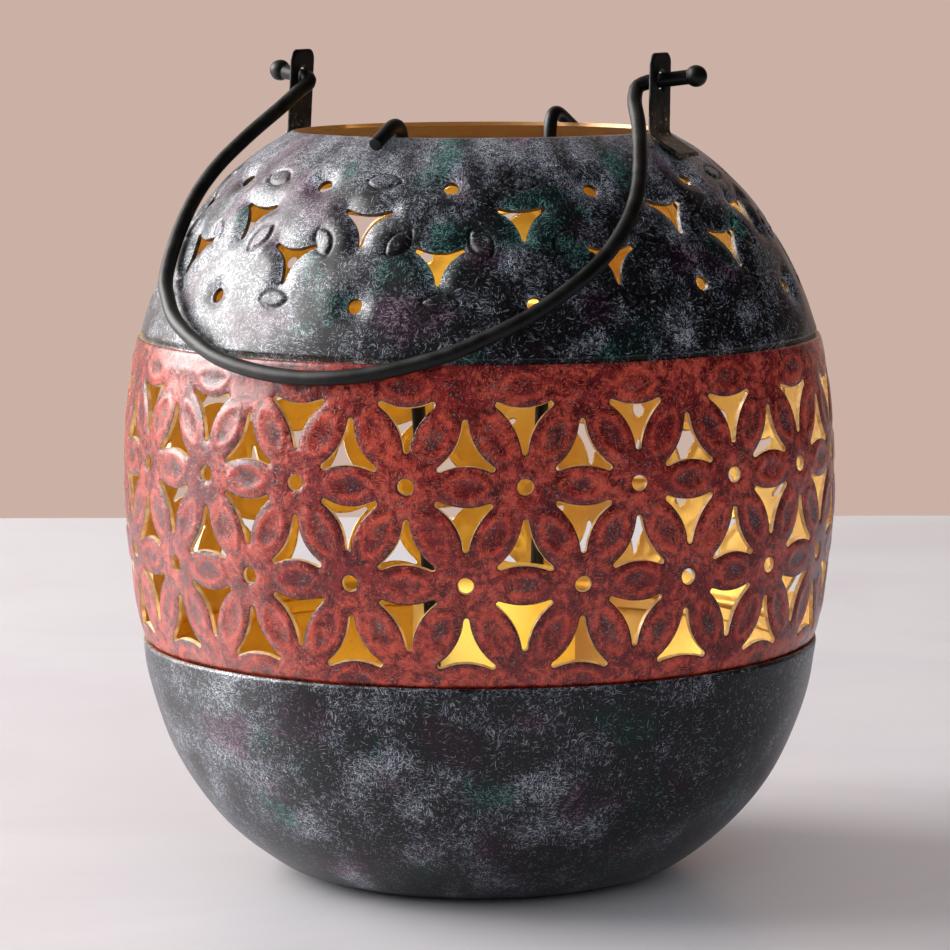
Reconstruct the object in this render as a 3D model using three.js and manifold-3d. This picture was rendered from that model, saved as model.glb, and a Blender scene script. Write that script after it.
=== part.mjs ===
// Pierced hanging candle lantern: a bowl, a pierced belly band and a pierced cap of thin sheet,
// two strap lugs with a wire bail, and a candle cup that hangs inside on two hooked wires.
// Millimetres, +Z up. The origin is the centre of the base, and +X points to the right lug.
// The bail lies forward, towards -Y. An angle round the lantern runs from -Y towards +X.
import * as THREE from "three";
import { mergeVertices } from "three/addons/utils/BufferGeometryUtils.js";
import Module from "manifold-3d";

const wasm = await Module();
wasm.setup();

const degree = Math.PI / 180;

// Sheet and fits
const sheet = 1.0;
const lapGap = 0.35;
const bandProud = 0.5;
const seatGap = 0.3;

// Belly: a superellipse above and below the widest ring
const bellyRadius = 95;
const bellyHeight = 103.2;
const bellyRoundness = 2.65;
const crownFullness = 2.22;
const undersideFullness = 2;

// Mouth and seams
const mouthRadius = 49.1;
const mouthHeight = 198.2;
const capSeamHeight = 144.3;
const capSkirtDrop = 3.6;
const bowlRimInset = 4.7;
const bowlRimHeight = 63.4;
const bandGroove = 0.9;
const bandFlareDrop = 1.4;
const bandSkirtDrop = 6;

// Bowl
const bowlBaseRadius = 48.3;
const bowlRimRise = 8.4;
const bowlRoundness = 2.62;
const footRadius = 43;
const footRound = 3;

// Flower lattice of the band, between plain margins
const bandFlowers = 20;
const latticeRows = 3;
const latticeTopMargin = 5.2;
const latticeFootMargin = 1.6;
const latticeTurn = 24.9 * degree;
const roundHoleDiameter = 4.1;
const bandStarReach = 8.1;
const bandStarWaist = 3.2;
const starTipWidth = 1.5;

// Piercing of the cap: stars and round holes in two staggered series
const capMotifs = 12;
const capTurn = 36.9 * degree;
const capDrift = 2.3 * degree;
const capDriftTurn = 47 * degree;
const capStarReach = 7.1;
const capStarWaist = 2.6;
// Heights of the piercing as shares of the cap's height
const highHoleShare = 0.794;
const highStarShare = 0.6475;
const lowStarShare = 0.471;
const lowHoleShare = 0.273;
// Columns of the hand-set pattern that stray further: the whole column or its star turned, and its
// lower or upper cut raised
const evenColumn = { turn: 0, starTurn: 0, lowRise: 0, highRise: 0 };
const strayColumns = new Map([
  [0, { ...evenColumn, starTurn: -0.8 * degree, highRise: 0.5 }],
  [0.5, { ...evenColumn, turn: 0.4 * degree, highRise: -0.8 }],
  [1, { ...evenColumn, turn: 2.6 * degree, lowRise: 3.5, highRise: 1.3 }],
  [1.5, { ...evenColumn, lowRise: 2.5, highRise: 0.5 }],
  [11, { ...evenColumn, starTurn: -1.3 * degree, lowRise: -0.6, highRise: -0.5 }],
  [11.5, { ...evenColumn, starTurn: -1.2 * degree }],
]);

// Lugs
const strapThickness = 1.2;
const strapWidth = 12;
const strapCorner = 3;
const strapBend = 2.4;
const hingeRise = 13.5;
const lugHead = 7.2;
const rightSetback = 4.6;
const leftSetback = 6.2;
const rightFootLength = 8.4;
const leftFootLength = 9.9;
const lugs = [
  {
    name: "lug_right",
    side: 1,
    setback: rightSetback,
    lean: -1 * degree,
    footLength: rightFootLength,
  },
  {
    name: "lug_left",
    side: -1,
    setback: leftSetback,
    lean: 3.5 * degree,
    footLength: leftFootLength,
  },
];

// Bail: its bow follows the crown and rests on the band under the cap's seam
const bailWire = 3.9;
const bailHoleClearance = 0.4;
const bailRestDrop = 3.8;
const bailRestGap = 0.65;
const rightSideGap = 2.35;
const leftSideGap = 1.1;
const bailNeckReach = 6.8;
const bailCornerRadius = 3.2;
const ballDiameter = 5.8;
const rightStubLength = 9.6;
const leftStubLength = 7.8;
const rightNeckGap = 3.1;
const leftNeckGap = 2.3;
// The two ends of the wire were bent by hand: each has its own stub, neck and shoulder.
// Places along the bow are shares of the bail's reach, and places across are shares of its half width.
const stubs = [
  {
    name: "bail_ball_right",
    lug: lugs[0],
    length: rightStubLength,
    rise: 12 * degree,
    neckGap: rightNeckGap,
    neckLead: { across: 0.0625, reach: 0.069 },
    shoulderLead: 0.16,
    widestReach: 0.482,
    sideGap: rightSideGap,
  },
  {
    name: "bail_ball_left",
    lug: lugs[1],
    length: leftStubLength,
    rise: 16.4 * degree,
    neckGap: leftNeckGap,
    neckLead: { across: 0.072, reach: 0.086 },
    shoulderLead: 0.085,
    widestReach: 0.397,
    sideGap: leftSideGap,
  },
];

// Candle holder
const hangerWire = 3.7;
const holderShift = 3.5;
const candleRoom = 5;
const cupHeight = 22;
const cupFloorHeight = 28;
const cupSheet = 1.0;
const cupRound = 4;
const hookSlope = 25 * degree;
const hookReach = 8.5;
const hookInset = 6.9;
const hookBend = 5;
const hangerKneeRise = 9;
const hangerTail = 18;
const candleRadius = 22;
const candleHeight = 50;
const candleShoulder = 2.6;
const candleShift = 2.3;
const candleShiftTurn = 17.7 * degree;
const wickRadius = 0.8;
const wickLength = 9;
const wickDepth = 6;
const wickClearance = 0.3;

// Facets
const ringFacets = 2 * bandFlowers;
const roundFacets = 32;
const wireFacets = 8;
const starSideSteps = 2;
const sheetSteps = 6;
const bendSteps = 4;
const ballSteps = 6;
const bailShoulderSteps = 7;
const bailBowSteps = 9;

const finish = {
  patina: { color: 0x1b1b20, roughness: 0.42, metalness: 0.6 },
  red: { color: 0x7d2a28, roughness: 0.5, metalness: 0.4 },
  black: { color: 0x12120f, roughness: 0.4, metalness: 0.5 },
  wax: { color: 0xffd84f, roughness: 0.6, metalness: 0 },
  wick: { color: 0xe8e0cf, roughness: 0.9, metalness: 0 },
};

const lantern = new THREE.Group();
lantern.name = "lantern";

function addPiece(name, geometry, look, parent = lantern) {
  const mesh = new THREE.Mesh(geometry, new THREE.MeshStandardMaterial(look));
  mesh.name = name;
  parent.add(mesh);
  return mesh;
}

// Closed geometry as a solid for joining and cutting, and back again.
function solidOf(geometry) {
  const bare = new THREE.BufferGeometry();
  bare.setAttribute("position", geometry.attributes.position.clone());
  if (geometry.index) bare.setIndex(geometry.index.clone());
  const merged = mergeVertices(bare, 1e-3);
  return new wasm.Manifold(
    new wasm.Mesh({
      numProp: 3,
      vertProperties: new Float32Array(merged.attributes.position.array),
      triVerts: new Uint32Array(merged.index.array),
    }),
  );
}

function geometryOf(solid) {
  const mesh = solid.getMesh();
  const geometry = new THREE.BufferGeometry();
  geometry.setAttribute("position", new THREE.BufferAttribute(mesh.vertProperties, 3));
  geometry.setIndex(new THREE.BufferAttribute(mesh.triVerts, 1));
  geometry.computeVertexNormals();
  return geometry;
}

// The belly narrows to the mouth above, and below to where the band goes into the bowl.
const bowlRimRadius = bellyRadius - bowlRimInset;
const bandWaistRadius = bowlRimRadius - sheet - lapGap - bandGroove;
const crownDepth = (mouthHeight - bellyHeight) / bellyFallAt(mouthRadius, crownFullness);
const undersideDepth = (bellyHeight - bowlRimHeight) / bellyFallAt(bandWaistRadius, undersideFullness);

function bellyFallAt(radius, fullness) {
  return (1 - (radius / bellyRadius) ** bellyRoundness) ** (1 / fullness);
}

// Outer radius of the belly at a height, and the height where the crown has a radius.
function bellyRadiusAt(height) {
  const above = height > bellyHeight;
  const depth = above ? crownDepth : undersideDepth;
  const fullness = above ? crownFullness : undersideFullness;
  const fall = Math.abs(height - bellyHeight) / depth;
  return bellyRadius * (1 - fall ** fullness) ** (1 / bellyRoundness);
}

function crownHeightAt(radius) {
  return bellyHeight + crownDepth * bellyFallAt(radius, crownFullness);
}

// The bowl is a superellipse through its base and rim, centred a little above the rim.
const bowlCentreHeight = bowlRimHeight + bowlRimRise;
const bowlBaseShare = (bowlBaseRadius / bowlRimRadius) ** bowlRoundness;
const bowlDepth = Math.sqrt((bowlCentreHeight ** 2 - bowlBaseShare * bowlRimRise ** 2) / (1 - bowlBaseShare));
const bowlRimShare = 1 - (bowlRimRise / bowlDepth) ** 2;

function bowlRadiusAt(height) {
  const share = 1 - ((bowlCentreHeight - height) / bowlDepth) ** 2;
  return bowlRimRadius * (share / bowlRimShare) ** (1 / bowlRoundness);
}

function bowlInsideAt(height) {
  return bowlRadiusAt(height) - sheet / profileNormal(bowlRadiusAt, height).x;
}

// Outward normal, in the plane of the profile, of a radius function at a height.
function profileNormal(radiusAt, height) {
  const step = 0.01;
  const slope = (radiusAt(height + step) - radiusAt(height - step)) / (2 * step);
  return new THREE.Vector2(1, -slope).normalize();
}

// Points of a radius function between two heights, moved in along the normal by an inset.
function profileArc(radiusAt, from, to, steps, inset = 0) {
  const points = [];
  for (let i = 0; i <= steps; i++) {
    const height = from + ((to - from) * i) / steps;
    const normal = profileNormal(radiusAt, height);
    points.push(new THREE.Vector2(radiusAt(height), height).addScaledVector(normal, -inset));
  }
  return points;
}

// A closed profile turned about the vertical axis, with its first facet edge at an angle.
function revolve(profile, facets, start = 0) {
  const geometry = new THREE.LatheGeometry(profile, facets, start, 2 * Math.PI);
  geometry.rotateX(Math.PI / 2);
  return closed(geometry);
}

// Merges shared vertices and drops the faces that collapse where a profile meets the axis.
function closed(geometry) {
  const bare = new THREE.BufferGeometry();
  bare.setAttribute("position", geometry.attributes.position);
  bare.setIndex(geometry.index);
  const merged = mergeVertices(bare, 1e-3);
  const index = merged.index.array;
  const kept = [];
  for (let i = 0; i < index.length; i += 3) {
    const [a, b, c] = index.slice(i, i + 3);
    if (a !== b && b !== c && a !== c) kept.push(a, b, c);
  }
  merged.setIndex(kept);
  merged.computeVertexNormals();
  return merged;
}

// A star hole: three rounded tips with hollow sides, pointing up or down, seen from outside.
function starOutline(reach, waist, up) {
  const points = [];
  const first = up ? 90 * degree : -90 * degree;
  const third = 120 * degree;
  const corner = (angle, side) =>
    new THREE.Vector2(reach, (side * starTipWidth) / 2).rotateAround(new THREE.Vector2(), angle);
  for (let tip = 0; tip < 3; tip++) {
    const angle = first + tip * third;
    const start = corner(angle, 1);
    const end = corner(angle + third, -1);
    const middle = new THREE.Vector2(waist, 0).rotateAround(new THREE.Vector2(), angle + third / 2);
    const control = middle.multiplyScalar(2).addScaledVector(start, -0.5).addScaledVector(end, -0.5);
    const side = new THREE.QuadraticBezierCurve(start, control, end);
    points.push(corner(angle, -1), ...side.getPoints(starSideSteps).slice(0, -1));
  }
  return points;
}

function roundOutline(radius, facets) {
  const points = [];
  for (let i = 0; i < facets; i++) {
    const angle = ((i + 0.5) / facets) * 2 * Math.PI;
    points.push(new THREE.Vector2(radius * Math.cos(angle), radius * Math.sin(angle)));
  }
  return points;
}

// The band follows the belly, stands proud where it laps the cap, and its foot flares to the bowl.
const bandFlareHeight = bowlRimHeight - bandFlareDrop;

function bandRadiusAt(height) {
  if (height < bandFlareHeight) return bowlInsideAt(height) - lapGap;
  const proud = bandProud * THREE.MathUtils.smoothstep(height, bellyHeight, capSeamHeight);
  return bellyRadiusAt(height) + proud;
}

// The band's sheet is a lattice of triangles with one star hole in each.
function bandGeometry() {
  const positions = [];
  const outer = ([angle, height]) => {
    const radius = bandRadiusAt(height);
    return [radius * Math.sin(angle), -radius * Math.cos(angle), height];
  };
  const inner = ([angle, height]) => {
    const radius = bandRadiusAt(height) - sheet;
    return [radius * Math.sin(angle), -radius * Math.cos(angle), height];
  };
  const face = (a, b, c) => {
    positions.push(...outer(a), ...outer(b), ...outer(c));
    positions.push(...inner(a), ...inner(c), ...inner(b));
  };
  const wall = (a, b) => {
    positions.push(...outer(a), ...outer(b), ...inner(b));
    positions.push(...outer(a), ...inner(b), ...inner(a));
  };

  const pitch = (2 * Math.PI) / bandFlowers;
  const latticeTop = capSeamHeight - latticeTopMargin;
  const latticeBottom = bowlRimHeight + latticeFootMargin;
  const rowStep = (latticeTop - latticeBottom) / latticeRows;
  const knot = (row, place) => [latticeTurn + (place + (row % 2) / 2) * pitch, latticeTop - row * rowStep];
  const middle = (a, b) => [(a[0] + b[0]) / 2, (a[1] + b[1]) / 2];

  // In the flat plan of a triangle the middles of its sides bulge, so that no three points line up.
  const bulge = 1.01;

  // The corner of a lattice triangle: a point, or the part of a round hole between two edges.
  const cornerPoints = (row, at, before, after) => {
    if (row === 0 || row === latticeRows) return [at];
    const radius = bandRadiusAt(at[1]);
    return [before, after].map(([angle, height]) => {
      const run = new THREE.Vector2((angle - at[0]) * radius, height - at[1]);
      run.setLength(roundHoleDiameter / 2);
      return [at[0] + run.x / radius, at[1] + run.y];
    });
  };

  const latticeTriangle = (corners, rows, up) => {
    const centre = [0, 1].map((k) => (corners[0][k] + corners[1][k] + corners[2][k]) / 3);
    const radius = bandRadiusAt(centre[1]);
    const flat = ([angle, height]) => new THREE.Vector2((angle - centre[0]) * radius, height - centre[1]);
    const contour = [];
    const contourPlan = [];
    const holeEdges = [];
    corners.forEach((at, i) => {
      const after = corners[(i + 1) % 3];
      const points = cornerPoints(rows[i], at, corners[(i + 2) % 3], after);
      if (points.length === 2) holeEdges.push([points[1], points[0]]);
      const between = middle(at, after);
      contour.push(...points, between);
      contourPlan.push(...points.map(flat), flat(between).multiplyScalar(bulge));
    });
    const star = starOutline(bandStarReach, bandStarWaist, up).map((p) => [
      centre[0] + p.x / radius,
      centre[1] + p.y,
    ]);
    const all = [...contour, ...star];
    const faces = THREE.ShapeUtils.triangulateShape(contourPlan, [star.map(flat)]);
    for (const corner of faces) face(...corner.map((n) => all[n]));
    star.forEach((p, i) => wall(p, star[(i + 1) % star.length]));
    holeEdges.forEach(([a, b]) => wall(a, b));
  };

  for (let row = 0; row < latticeRows; row++) {
    for (let place = 0; place < bandFlowers; place++) {
      const shift = row % 2;
      const left = knot(row, place);
      const right = knot(row, place + 1);
      const below = knot(row + 1, place + shift);
      const belowNext = knot(row + 1, place + shift + 1);
      latticeTriangle([left, below, right], [row, row + 1, row], false);
      latticeTriangle([right, below, belowNext], [row, row + 1, row + 1], true);
    }
  }

  // Plain rings above and below the lattice, joined to it at its knots and midpoints.
  const ring = (high, low) => {
    for (let i = 0; i < ringFacets; i++) {
      const from = latticeTurn + (i * pitch) / 2;
      const to = latticeTurn + ((i + 1) * pitch) / 2;
      face([from, low], [to, low], [to, high]);
      face([from, low], [to, high], [from, high]);
    }
  };
  const edge = (height, top) => {
    for (let i = 0; i < ringFacets; i++) {
      const a = [latticeTurn + (i * pitch) / 2, height];
      const b = [latticeTurn + ((i + 1) * pitch) / 2, height];
      if (top) wall(a, b);
      else wall(b, a);
    }
  };
  const bandFoot = bowlRimHeight - bandSkirtDrop;
  ring(capSeamHeight, latticeTop);
  ring(latticeBottom, bandFlareHeight);
  ring(bandFlareHeight, bandFoot);
  edge(capSeamHeight, true);
  edge(bandFoot, false);

  const geometry = new THREE.BufferGeometry();
  geometry.setAttribute("position", new THREE.Float32BufferAttribute(positions, 3));
  return closed(geometry);
}

// The bowl: a flat foot, a round wall and an open rim.
function bowlGeometry() {
  const wallStart = footRound;
  const outside = profileArc(bowlRadiusAt, wallStart, bowlRimHeight, sheetSteps);
  const inside = profileArc(bowlRadiusAt, bowlRimHeight, wallStart + sheet, sheetSteps, sheet);
  inside[0] = new THREE.Vector2(bowlInsideAt(bowlRimHeight), bowlRimHeight);
  const floorRadius = footRadius + sheet;
  const profile = [
    new THREE.Vector2(0, 0),
    new THREE.Vector2(footRadius, 0),
    new THREE.Vector2((footRadius + bowlRadiusAt(0)) / 2, footRound / 6),
    ...outside,
    ...inside,
    new THREE.Vector2(floorRadius, sheet + footRound / 6),
    new THREE.Vector2(0, sheet + footRound / 6),
  ];
  return revolve(profile, ringFacets, latticeTurn);
}

// The cap: a pierced crown whose lower skirt steps in behind the band.
function capGeometry() {
  const stepIn = sheet + lapGap - bandProud;
  const skirtFoot = capSeamHeight - capSkirtDrop;
  const skirtTop = capSeamHeight + lapGap;
  const shoulder = skirtTop + stepIn;
  const outside = profileArc(bellyRadiusAt, shoulder, mouthHeight, sheetSteps);
  const inside = profileArc(bellyRadiusAt, mouthHeight, shoulder, sheetSteps, sheet);
  const skirtOutside = profileArc(bellyRadiusAt, skirtFoot, skirtTop, 1, stepIn);
  const skirtInside = profileArc(bellyRadiusAt, skirtTop, skirtFoot, 1, stepIn + sheet);
  const profile = [...skirtOutside, ...outside, ...inside, ...skirtInside, skirtOutside[0]];
  let cap = solidOf(revolve(profile, ringFacets, latticeTurn));

  const punch = (outline, angle, share, rise) => {
    const height = capSeamHeight + share * (mouthHeight - capSeamHeight) + rise;
    const depth = 6 * sheet;
    const tool = new THREE.ExtrudeGeometry(new THREE.Shape(outline), { depth, bevelEnabled: false });
    const normal = profileNormal(bellyRadiusAt, height);
    const radius = bellyRadiusAt(height);
    const out = new THREE.Vector3(normal.x * Math.sin(angle), -normal.x * Math.cos(angle), normal.y);
    const along = new THREE.Vector3(Math.cos(angle), Math.sin(angle), 0);
    const up = new THREE.Vector3().crossVectors(out, along);
    const place = new THREE.Matrix4().makeBasis(along, up, out);
    place.setPosition(radius * Math.sin(angle), -radius * Math.cos(angle), height);
    tool.translate(0, 0, -depth / 2).applyMatrix4(place);
    cap = cap.subtract(solidOf(tool));
  };
  const hole = roundOutline(roundHoleDiameter / 2, wireFacets);
  const star = starOutline(capStarReach, capStarWaist, false);
  for (let i = 0; i < capMotifs; i++) {
    const first = capColumn(i);
    const second = capColumn(i + 0.5);
    punch(hole, first.angle, lowHoleShare, first.lowRise);
    punch(star, first.angle + first.starTurn, highStarShare, first.highRise);
    punch(hole, second.angle, highHoleShare, second.highRise);
    punch(star, second.angle + second.starTurn, lowStarShare, second.lowRise);
  }
  return geometryOf(cap);
}

// The cap's pattern was set out by hand, so its even spacing drifts a little round the crown.
function capColumn(place) {
  const even = capTurn + (place / capMotifs) * 2 * Math.PI;
  const stray = strayColumns.get(place) ?? evenColumn;
  return { ...stray, angle: even + capDrift * Math.sin(even - capDriftTurn) + stray.turn };
}

// A centre line through given points. Each stretch between two points is one step of the sweep.
class Route extends THREE.Curve {
  constructor(points) {
    super();
    this.points = points;
  }
  getPoint(t) {
    const place = t * (this.points.length - 1);
    const i = Math.min(Math.floor(place), this.points.length - 2);
    return this.points[i].clone().lerp(this.points[i + 1], place - i);
  }
  getPointAt(t) {
    return this.getPoint(t);
  }
  getTangentAt(t) {
    const last = this.points.length - 1;
    const i = Math.round(t * last);
    const before = this.points[Math.max(i - 1, 0)];
    const after = this.points[Math.min(i + 1, last)];
    return after.clone().sub(before).normalize();
  }
}

function wireGeometry(points, diameter) {
  const section = new THREE.Shape(roundOutline(diameter / 2, wireFacets));
  const route = new Route(points);
  const steps = points.length - 1;
  return new THREE.ExtrudeGeometry(section, { steps, extrudePath: route });
}

// Replaces each inner corner of a line of points by a round bend.
function roundCorners(points, radius) {
  const rounded = [points[0]];
  for (let i = 1; i < points.length - 1; i++) {
    const back = points[i - 1].clone().sub(points[i]).normalize();
    const ahead = points[i + 1].clone().sub(points[i]).normalize();
    const cut = radius / Math.tan(back.angleTo(ahead) / 2);
    const start = points[i].clone().addScaledVector(back, cut);
    const end = points[i].clone().addScaledVector(ahead, cut);
    const bend = new THREE.QuadraticBezierCurve3(start, points[i], end);
    rounded.push(...bend.getPoints(bendSteps));
  }
  rounded.push(points[points.length - 1]);
  return rounded;
}

function direction(angle) {
  return new THREE.Vector2(Math.cos(angle), Math.sin(angle));
}

// A lug sits on the crown with the outside of its bend, and its foot takes the crown's slope there.
const hingeHeight = mouthHeight + hingeRise;
const lugHeight = hingeHeight + lugHead;

function lugSeat({ setback }) {
  const point = new THREE.Vector2(mouthRadius + setback, crownHeightAt(mouthRadius + setback));
  return { point, normal: profileNormal(bellyRadiusAt, point.y) };
}

function lugBendCentre(lug) {
  const { point, normal } = lugSeat(lug);
  return point.addScaledVector(normal, strapBend + strapThickness + seatGap);
}

// How far from the lantern's axis the bail's hole is in a lug.
function lugHoleRadius(lug) {
  const middle = strapBend + strapThickness / 2;
  const start = lugBendCentre(lug).addScaledVector(direction(Math.PI + lug.lean), middle);
  return start.x - Math.tan(lug.lean) * (hingeHeight - start.y);
}

function lugGeometry(lug) {
  const upAngle = Math.PI + lug.lean;
  const footAngle = Math.PI + lugSeat(lug).normal.angle();
  const upright = direction(Math.PI / 2 + lug.lean);
  const foot = direction(footAngle + Math.PI / 2);
  const bendCentre = lugBendCentre(lug);
  const overLength = lugHeight - bendCentre.y + strapWidth;
  const face = (radius) => {
    const points = [];
    for (let i = 0; i <= bendSteps; i++) {
      const angle = upAngle + ((footAngle - upAngle) * i) / bendSteps;
      points.push(bendCentre.clone().addScaledVector(direction(angle), radius));
    }
    const top = points[0].clone().addScaledVector(upright, overLength);
    const end = points[bendSteps].clone().addScaledVector(foot, lug.footLength);
    return [top, ...points, end];
  };
  const outline = [...face(strapBend + strapThickness), ...face(strapBend).reverse()];
  const sideView = new THREE.Shape(outline);
  const strap = new THREE.ExtrudeGeometry(sideView, { depth: strapWidth, bevelEnabled: false });
  strap.rotateX(Math.PI / 2).translate(0, strapWidth / 2, 0);

  const half = strapWidth / 2;
  const plan = new THREE.Shape();
  plan.moveTo(-half, 0);
  plan.lineTo(half, 0);
  plan.lineTo(half, lugHeight - strapCorner);
  plan.absarc(half - strapCorner, lugHeight - strapCorner, strapCorner, 0, Math.PI / 2);
  plan.absarc(strapCorner - half, lugHeight - strapCorner, strapCorner, Math.PI / 2, Math.PI);
  const reach = 2 * bellyRadius;
  const curveSegments = bendSteps / 2;
  const frontView = new THREE.ExtrudeGeometry(plan, { depth: reach, bevelEnabled: false, curveSegments });
  frontView.rotateX(Math.PI / 2).rotateZ(Math.PI / 2);

  const holeRadius = bailWire / 2 + bailHoleClearance;
  const drill = new THREE.CylinderGeometry(holeRadius, holeRadius, 8 * strapThickness, roundFacets / 2);
  drill.rotateZ(Math.PI / 2).translate(lugHoleRadius(lug), 0, hingeHeight);
  return geometryOf(solidOf(strap).intersect(solidOf(frontView)).subtract(solidOf(drill)));
}

// The bow's middle rests on the band, which sets the bail's reach from its hinge and its drop.
const wireRadius = bailWire / 2;
const bailRestHeight = capSeamHeight - bailRestDrop;
const bailRest = new THREE.Vector2(bowRadiusAt(bailRestHeight, bailRestGap), bailRestHeight - hingeHeight);
const bailReach = bailRest.length();
const bailDrop = -bailRest.angle();

// How far from the lantern's axis the wire's middle is when it leaves a gap to the band's outside.
function bowRadiusAt(height, gap) {
  return bellyRadiusAt(height) + bandProud + gap + wireRadius;
}

const ballFlat = Math.sqrt((ballDiameter / 2) ** 2 - wireRadius ** 2);

// The bail is drawn hanging straight down from its hinge line: across, and reach below the hinge.
function bailPoint(across, reach) {
  return new THREE.Vector3(across, 0, -reach);
}

// From a ball through its lug hole and round the corner to the neck of the bail.
function stubRoute(stub) {
  const hole = bailPoint(lugHoleRadius(stub.lug), 0);
  const out = bailPoint(Math.cos(stub.rise), -Math.sin(stub.rise));
  const neckAcross = hole.x - strapThickness / 2 - stub.neckGap - wireRadius;
  const corner = hole.clone().addScaledVector(out, (neckAcross - hole.x) / out.x);
  const end = hole.clone().addScaledVector(out, stub.length - ballFlat - lapGap / 3);
  const ball = hole.clone().addScaledVector(out, stub.length);
  return { out, corner, end, ball, neckAcross };
}

// A point of the bow, from its widest place at 0 to its middle at 1.
function bowPoint(stub, share) {
  const widest = bailReach * stub.widestReach;
  const reach = widest + (bailReach - widest) * Math.sin((share * Math.PI) / 2);
  const gap = THREE.MathUtils.mapLinear(reach, widest, bailReach, stub.sideGap, bailRestGap);
  const radius = bowRadiusAt(hingeHeight - reach * Math.sin(bailDrop), gap);
  return bailPoint(Math.sqrt(Math.max(radius ** 2 - (reach * Math.cos(bailDrop)) ** 2, 0)), reach);
}

function bailGeometry() {
  const half = (stub) => {
    const { corner, end, neckAcross } = stubRoute(stub);
    const neckEnd = bailPoint(neckAcross + wireRadius / 2, bailNeckReach);
    const widest = bowPoint(stub, 0);
    const points = roundCorners([end, corner, neckEnd], bailCornerRadius).slice(0, -1);
    const shoulder = new THREE.CubicBezierCurve3(
      neckEnd,
      bailPoint(neckEnd.x + widest.x * stub.neckLead.across, bailNeckReach + bailReach * stub.neckLead.reach),
      bailPoint(widest.x, -widest.z - bailReach * stub.shoulderLead),
      widest,
    );
    points.push(...shoulder.getPoints(bailShoulderSteps).slice(0, -1));
    for (let i = 0; i < bailBowSteps; i++) points.push(bowPoint(stub, i / bailBowSteps));
    return points.map((p) => p.multiply(new THREE.Vector3(stub.lug.side, 1, 1)));
  };
  const right = half(stubs[0]);
  const left = half(stubs[1]).reverse();
  return wireGeometry([...right, bailPoint(0, bailReach), ...left], bailWire);
}

// A ball end, flat where the wire's end meets it, with the flat at the bottom.
function ballGeometry() {
  const radius = ballDiameter / 2;
  const flatAngle = Math.asin(-ballFlat / radius);
  const profile = [new THREE.Vector2(0, -ballFlat)];
  for (let i = 0; i <= ballSteps; i++) {
    const angle = flatAngle + ((Math.PI / 2 - flatAngle) * i) / ballSteps;
    profile.push(direction(angle).multiplyScalar(radius));
  }
  profile[profile.length - 1].x = 0;
  const geometry = new THREE.LatheGeometry(profile, roundFacets / 2);
  return closed(geometry);
}

const cupRadius = candleRadius + candleRoom + cupSheet;

// A hanger wire in the plane across the mouth: hook, crest, slanted run and tail along the cup.
function hangerGeometry(side) {
  const slope = direction(-hookSlope);
  const away = new THREE.Vector2(-slope.y, slope.x);
  const overRim = new THREE.Vector2(mouthRadius, mouthHeight).addScaledVector(away, hangerWire / 2 + seatGap);
  const tip = overRim.clone().addScaledVector(slope, hookReach);
  const crest = overRim.clone().addScaledVector(slope, -hookInset);
  const tail = cupRadius + seatGap + hangerWire / 2 + side * holderShift;
  const cupTop = cupFloorHeight + cupHeight;
  const place = (radius, height) => new THREE.Vector3(0, side * radius, height);
  const points = [
    place(tip.x, tip.y),
    place(crest.x, crest.y),
    place(tail, cupTop + hangerKneeRise),
    place(tail, cupTop - hangerTail),
  ];
  return wireGeometry(roundCorners(points, hookBend), hangerWire);
}

function cupGeometry() {
  const inner = cupRadius - cupSheet;
  const bottom = cupFloorHeight;
  const top = bottom + cupHeight;
  const corner = (radius, height, round, from, to) => {
    const points = [];
    for (let i = 0; i <= bendSteps; i++) {
      const angle = from + ((to - from) * i) / bendSteps;
      points.push(direction(angle).multiplyScalar(round).add(new THREE.Vector2(radius, height)));
    }
    return points;
  };
  const centre = [cupRadius - cupRound, bottom + cupRound];
  const profile = [
    new THREE.Vector2(0, bottom),
    ...corner(...centre, cupRound, -Math.PI / 2, 0),
    new THREE.Vector2(cupRadius, top),
    new THREE.Vector2(inner, top),
    ...corner(...centre, cupRound - cupSheet, 0, -Math.PI / 2),
    new THREE.Vector2(0, bottom + cupSheet),
  ];
  return revolve(profile, roundFacets);
}

// The candle: a round shoulder, and a narrow hole for the wick.
function candleGeometry() {
  const bore = wickRadius + wickClearance;
  const profile = [new THREE.Vector2(0, 0), new THREE.Vector2(candleRadius, 0)];
  for (let i = 0; i <= bendSteps; i++) {
    const round = direction(((i / bendSteps) * Math.PI) / 2).multiplyScalar(candleShoulder);
    profile.push(round.add(new THREE.Vector2(candleRadius - candleShoulder, candleHeight - candleShoulder)));
  }
  profile.push(new THREE.Vector2(bore, candleHeight));
  profile.push(new THREE.Vector2(bore, candleHeight - wickDepth));
  profile.push(new THREE.Vector2(0, candleHeight - wickDepth));
  return revolve(profile, roundFacets);
}

addPiece("bottom_bowl", bowlGeometry(), finish.patina);
addPiece("pierced_band", bandGeometry(), finish.red);
addPiece("top_cap", capGeometry(), finish.patina);
for (const lug of lugs) {
  const mesh = addPiece(lug.name, lugGeometry(lug), finish.black);
  if (lug.side < 0) mesh.rotation.z = Math.PI;
}

const bail = new THREE.Group();
bail.position.set(0, 0, hingeHeight);
bail.rotation.x = bailDrop - Math.PI / 2;
lantern.add(bail);
addPiece("bail_wire", bailGeometry(), finish.black, bail);
for (const stub of stubs) {
  const { out, ball } = stubRoute(stub);
  const mirror = new THREE.Vector3(stub.lug.side, 1, 1);
  const mesh = addPiece(stub.name, ballGeometry(), finish.black, bail);
  mesh.position.copy(ball.multiply(mirror));
  mesh.quaternion.setFromUnitVectors(new THREE.Vector3(0, 1, 0), out.multiply(mirror));
}

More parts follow.
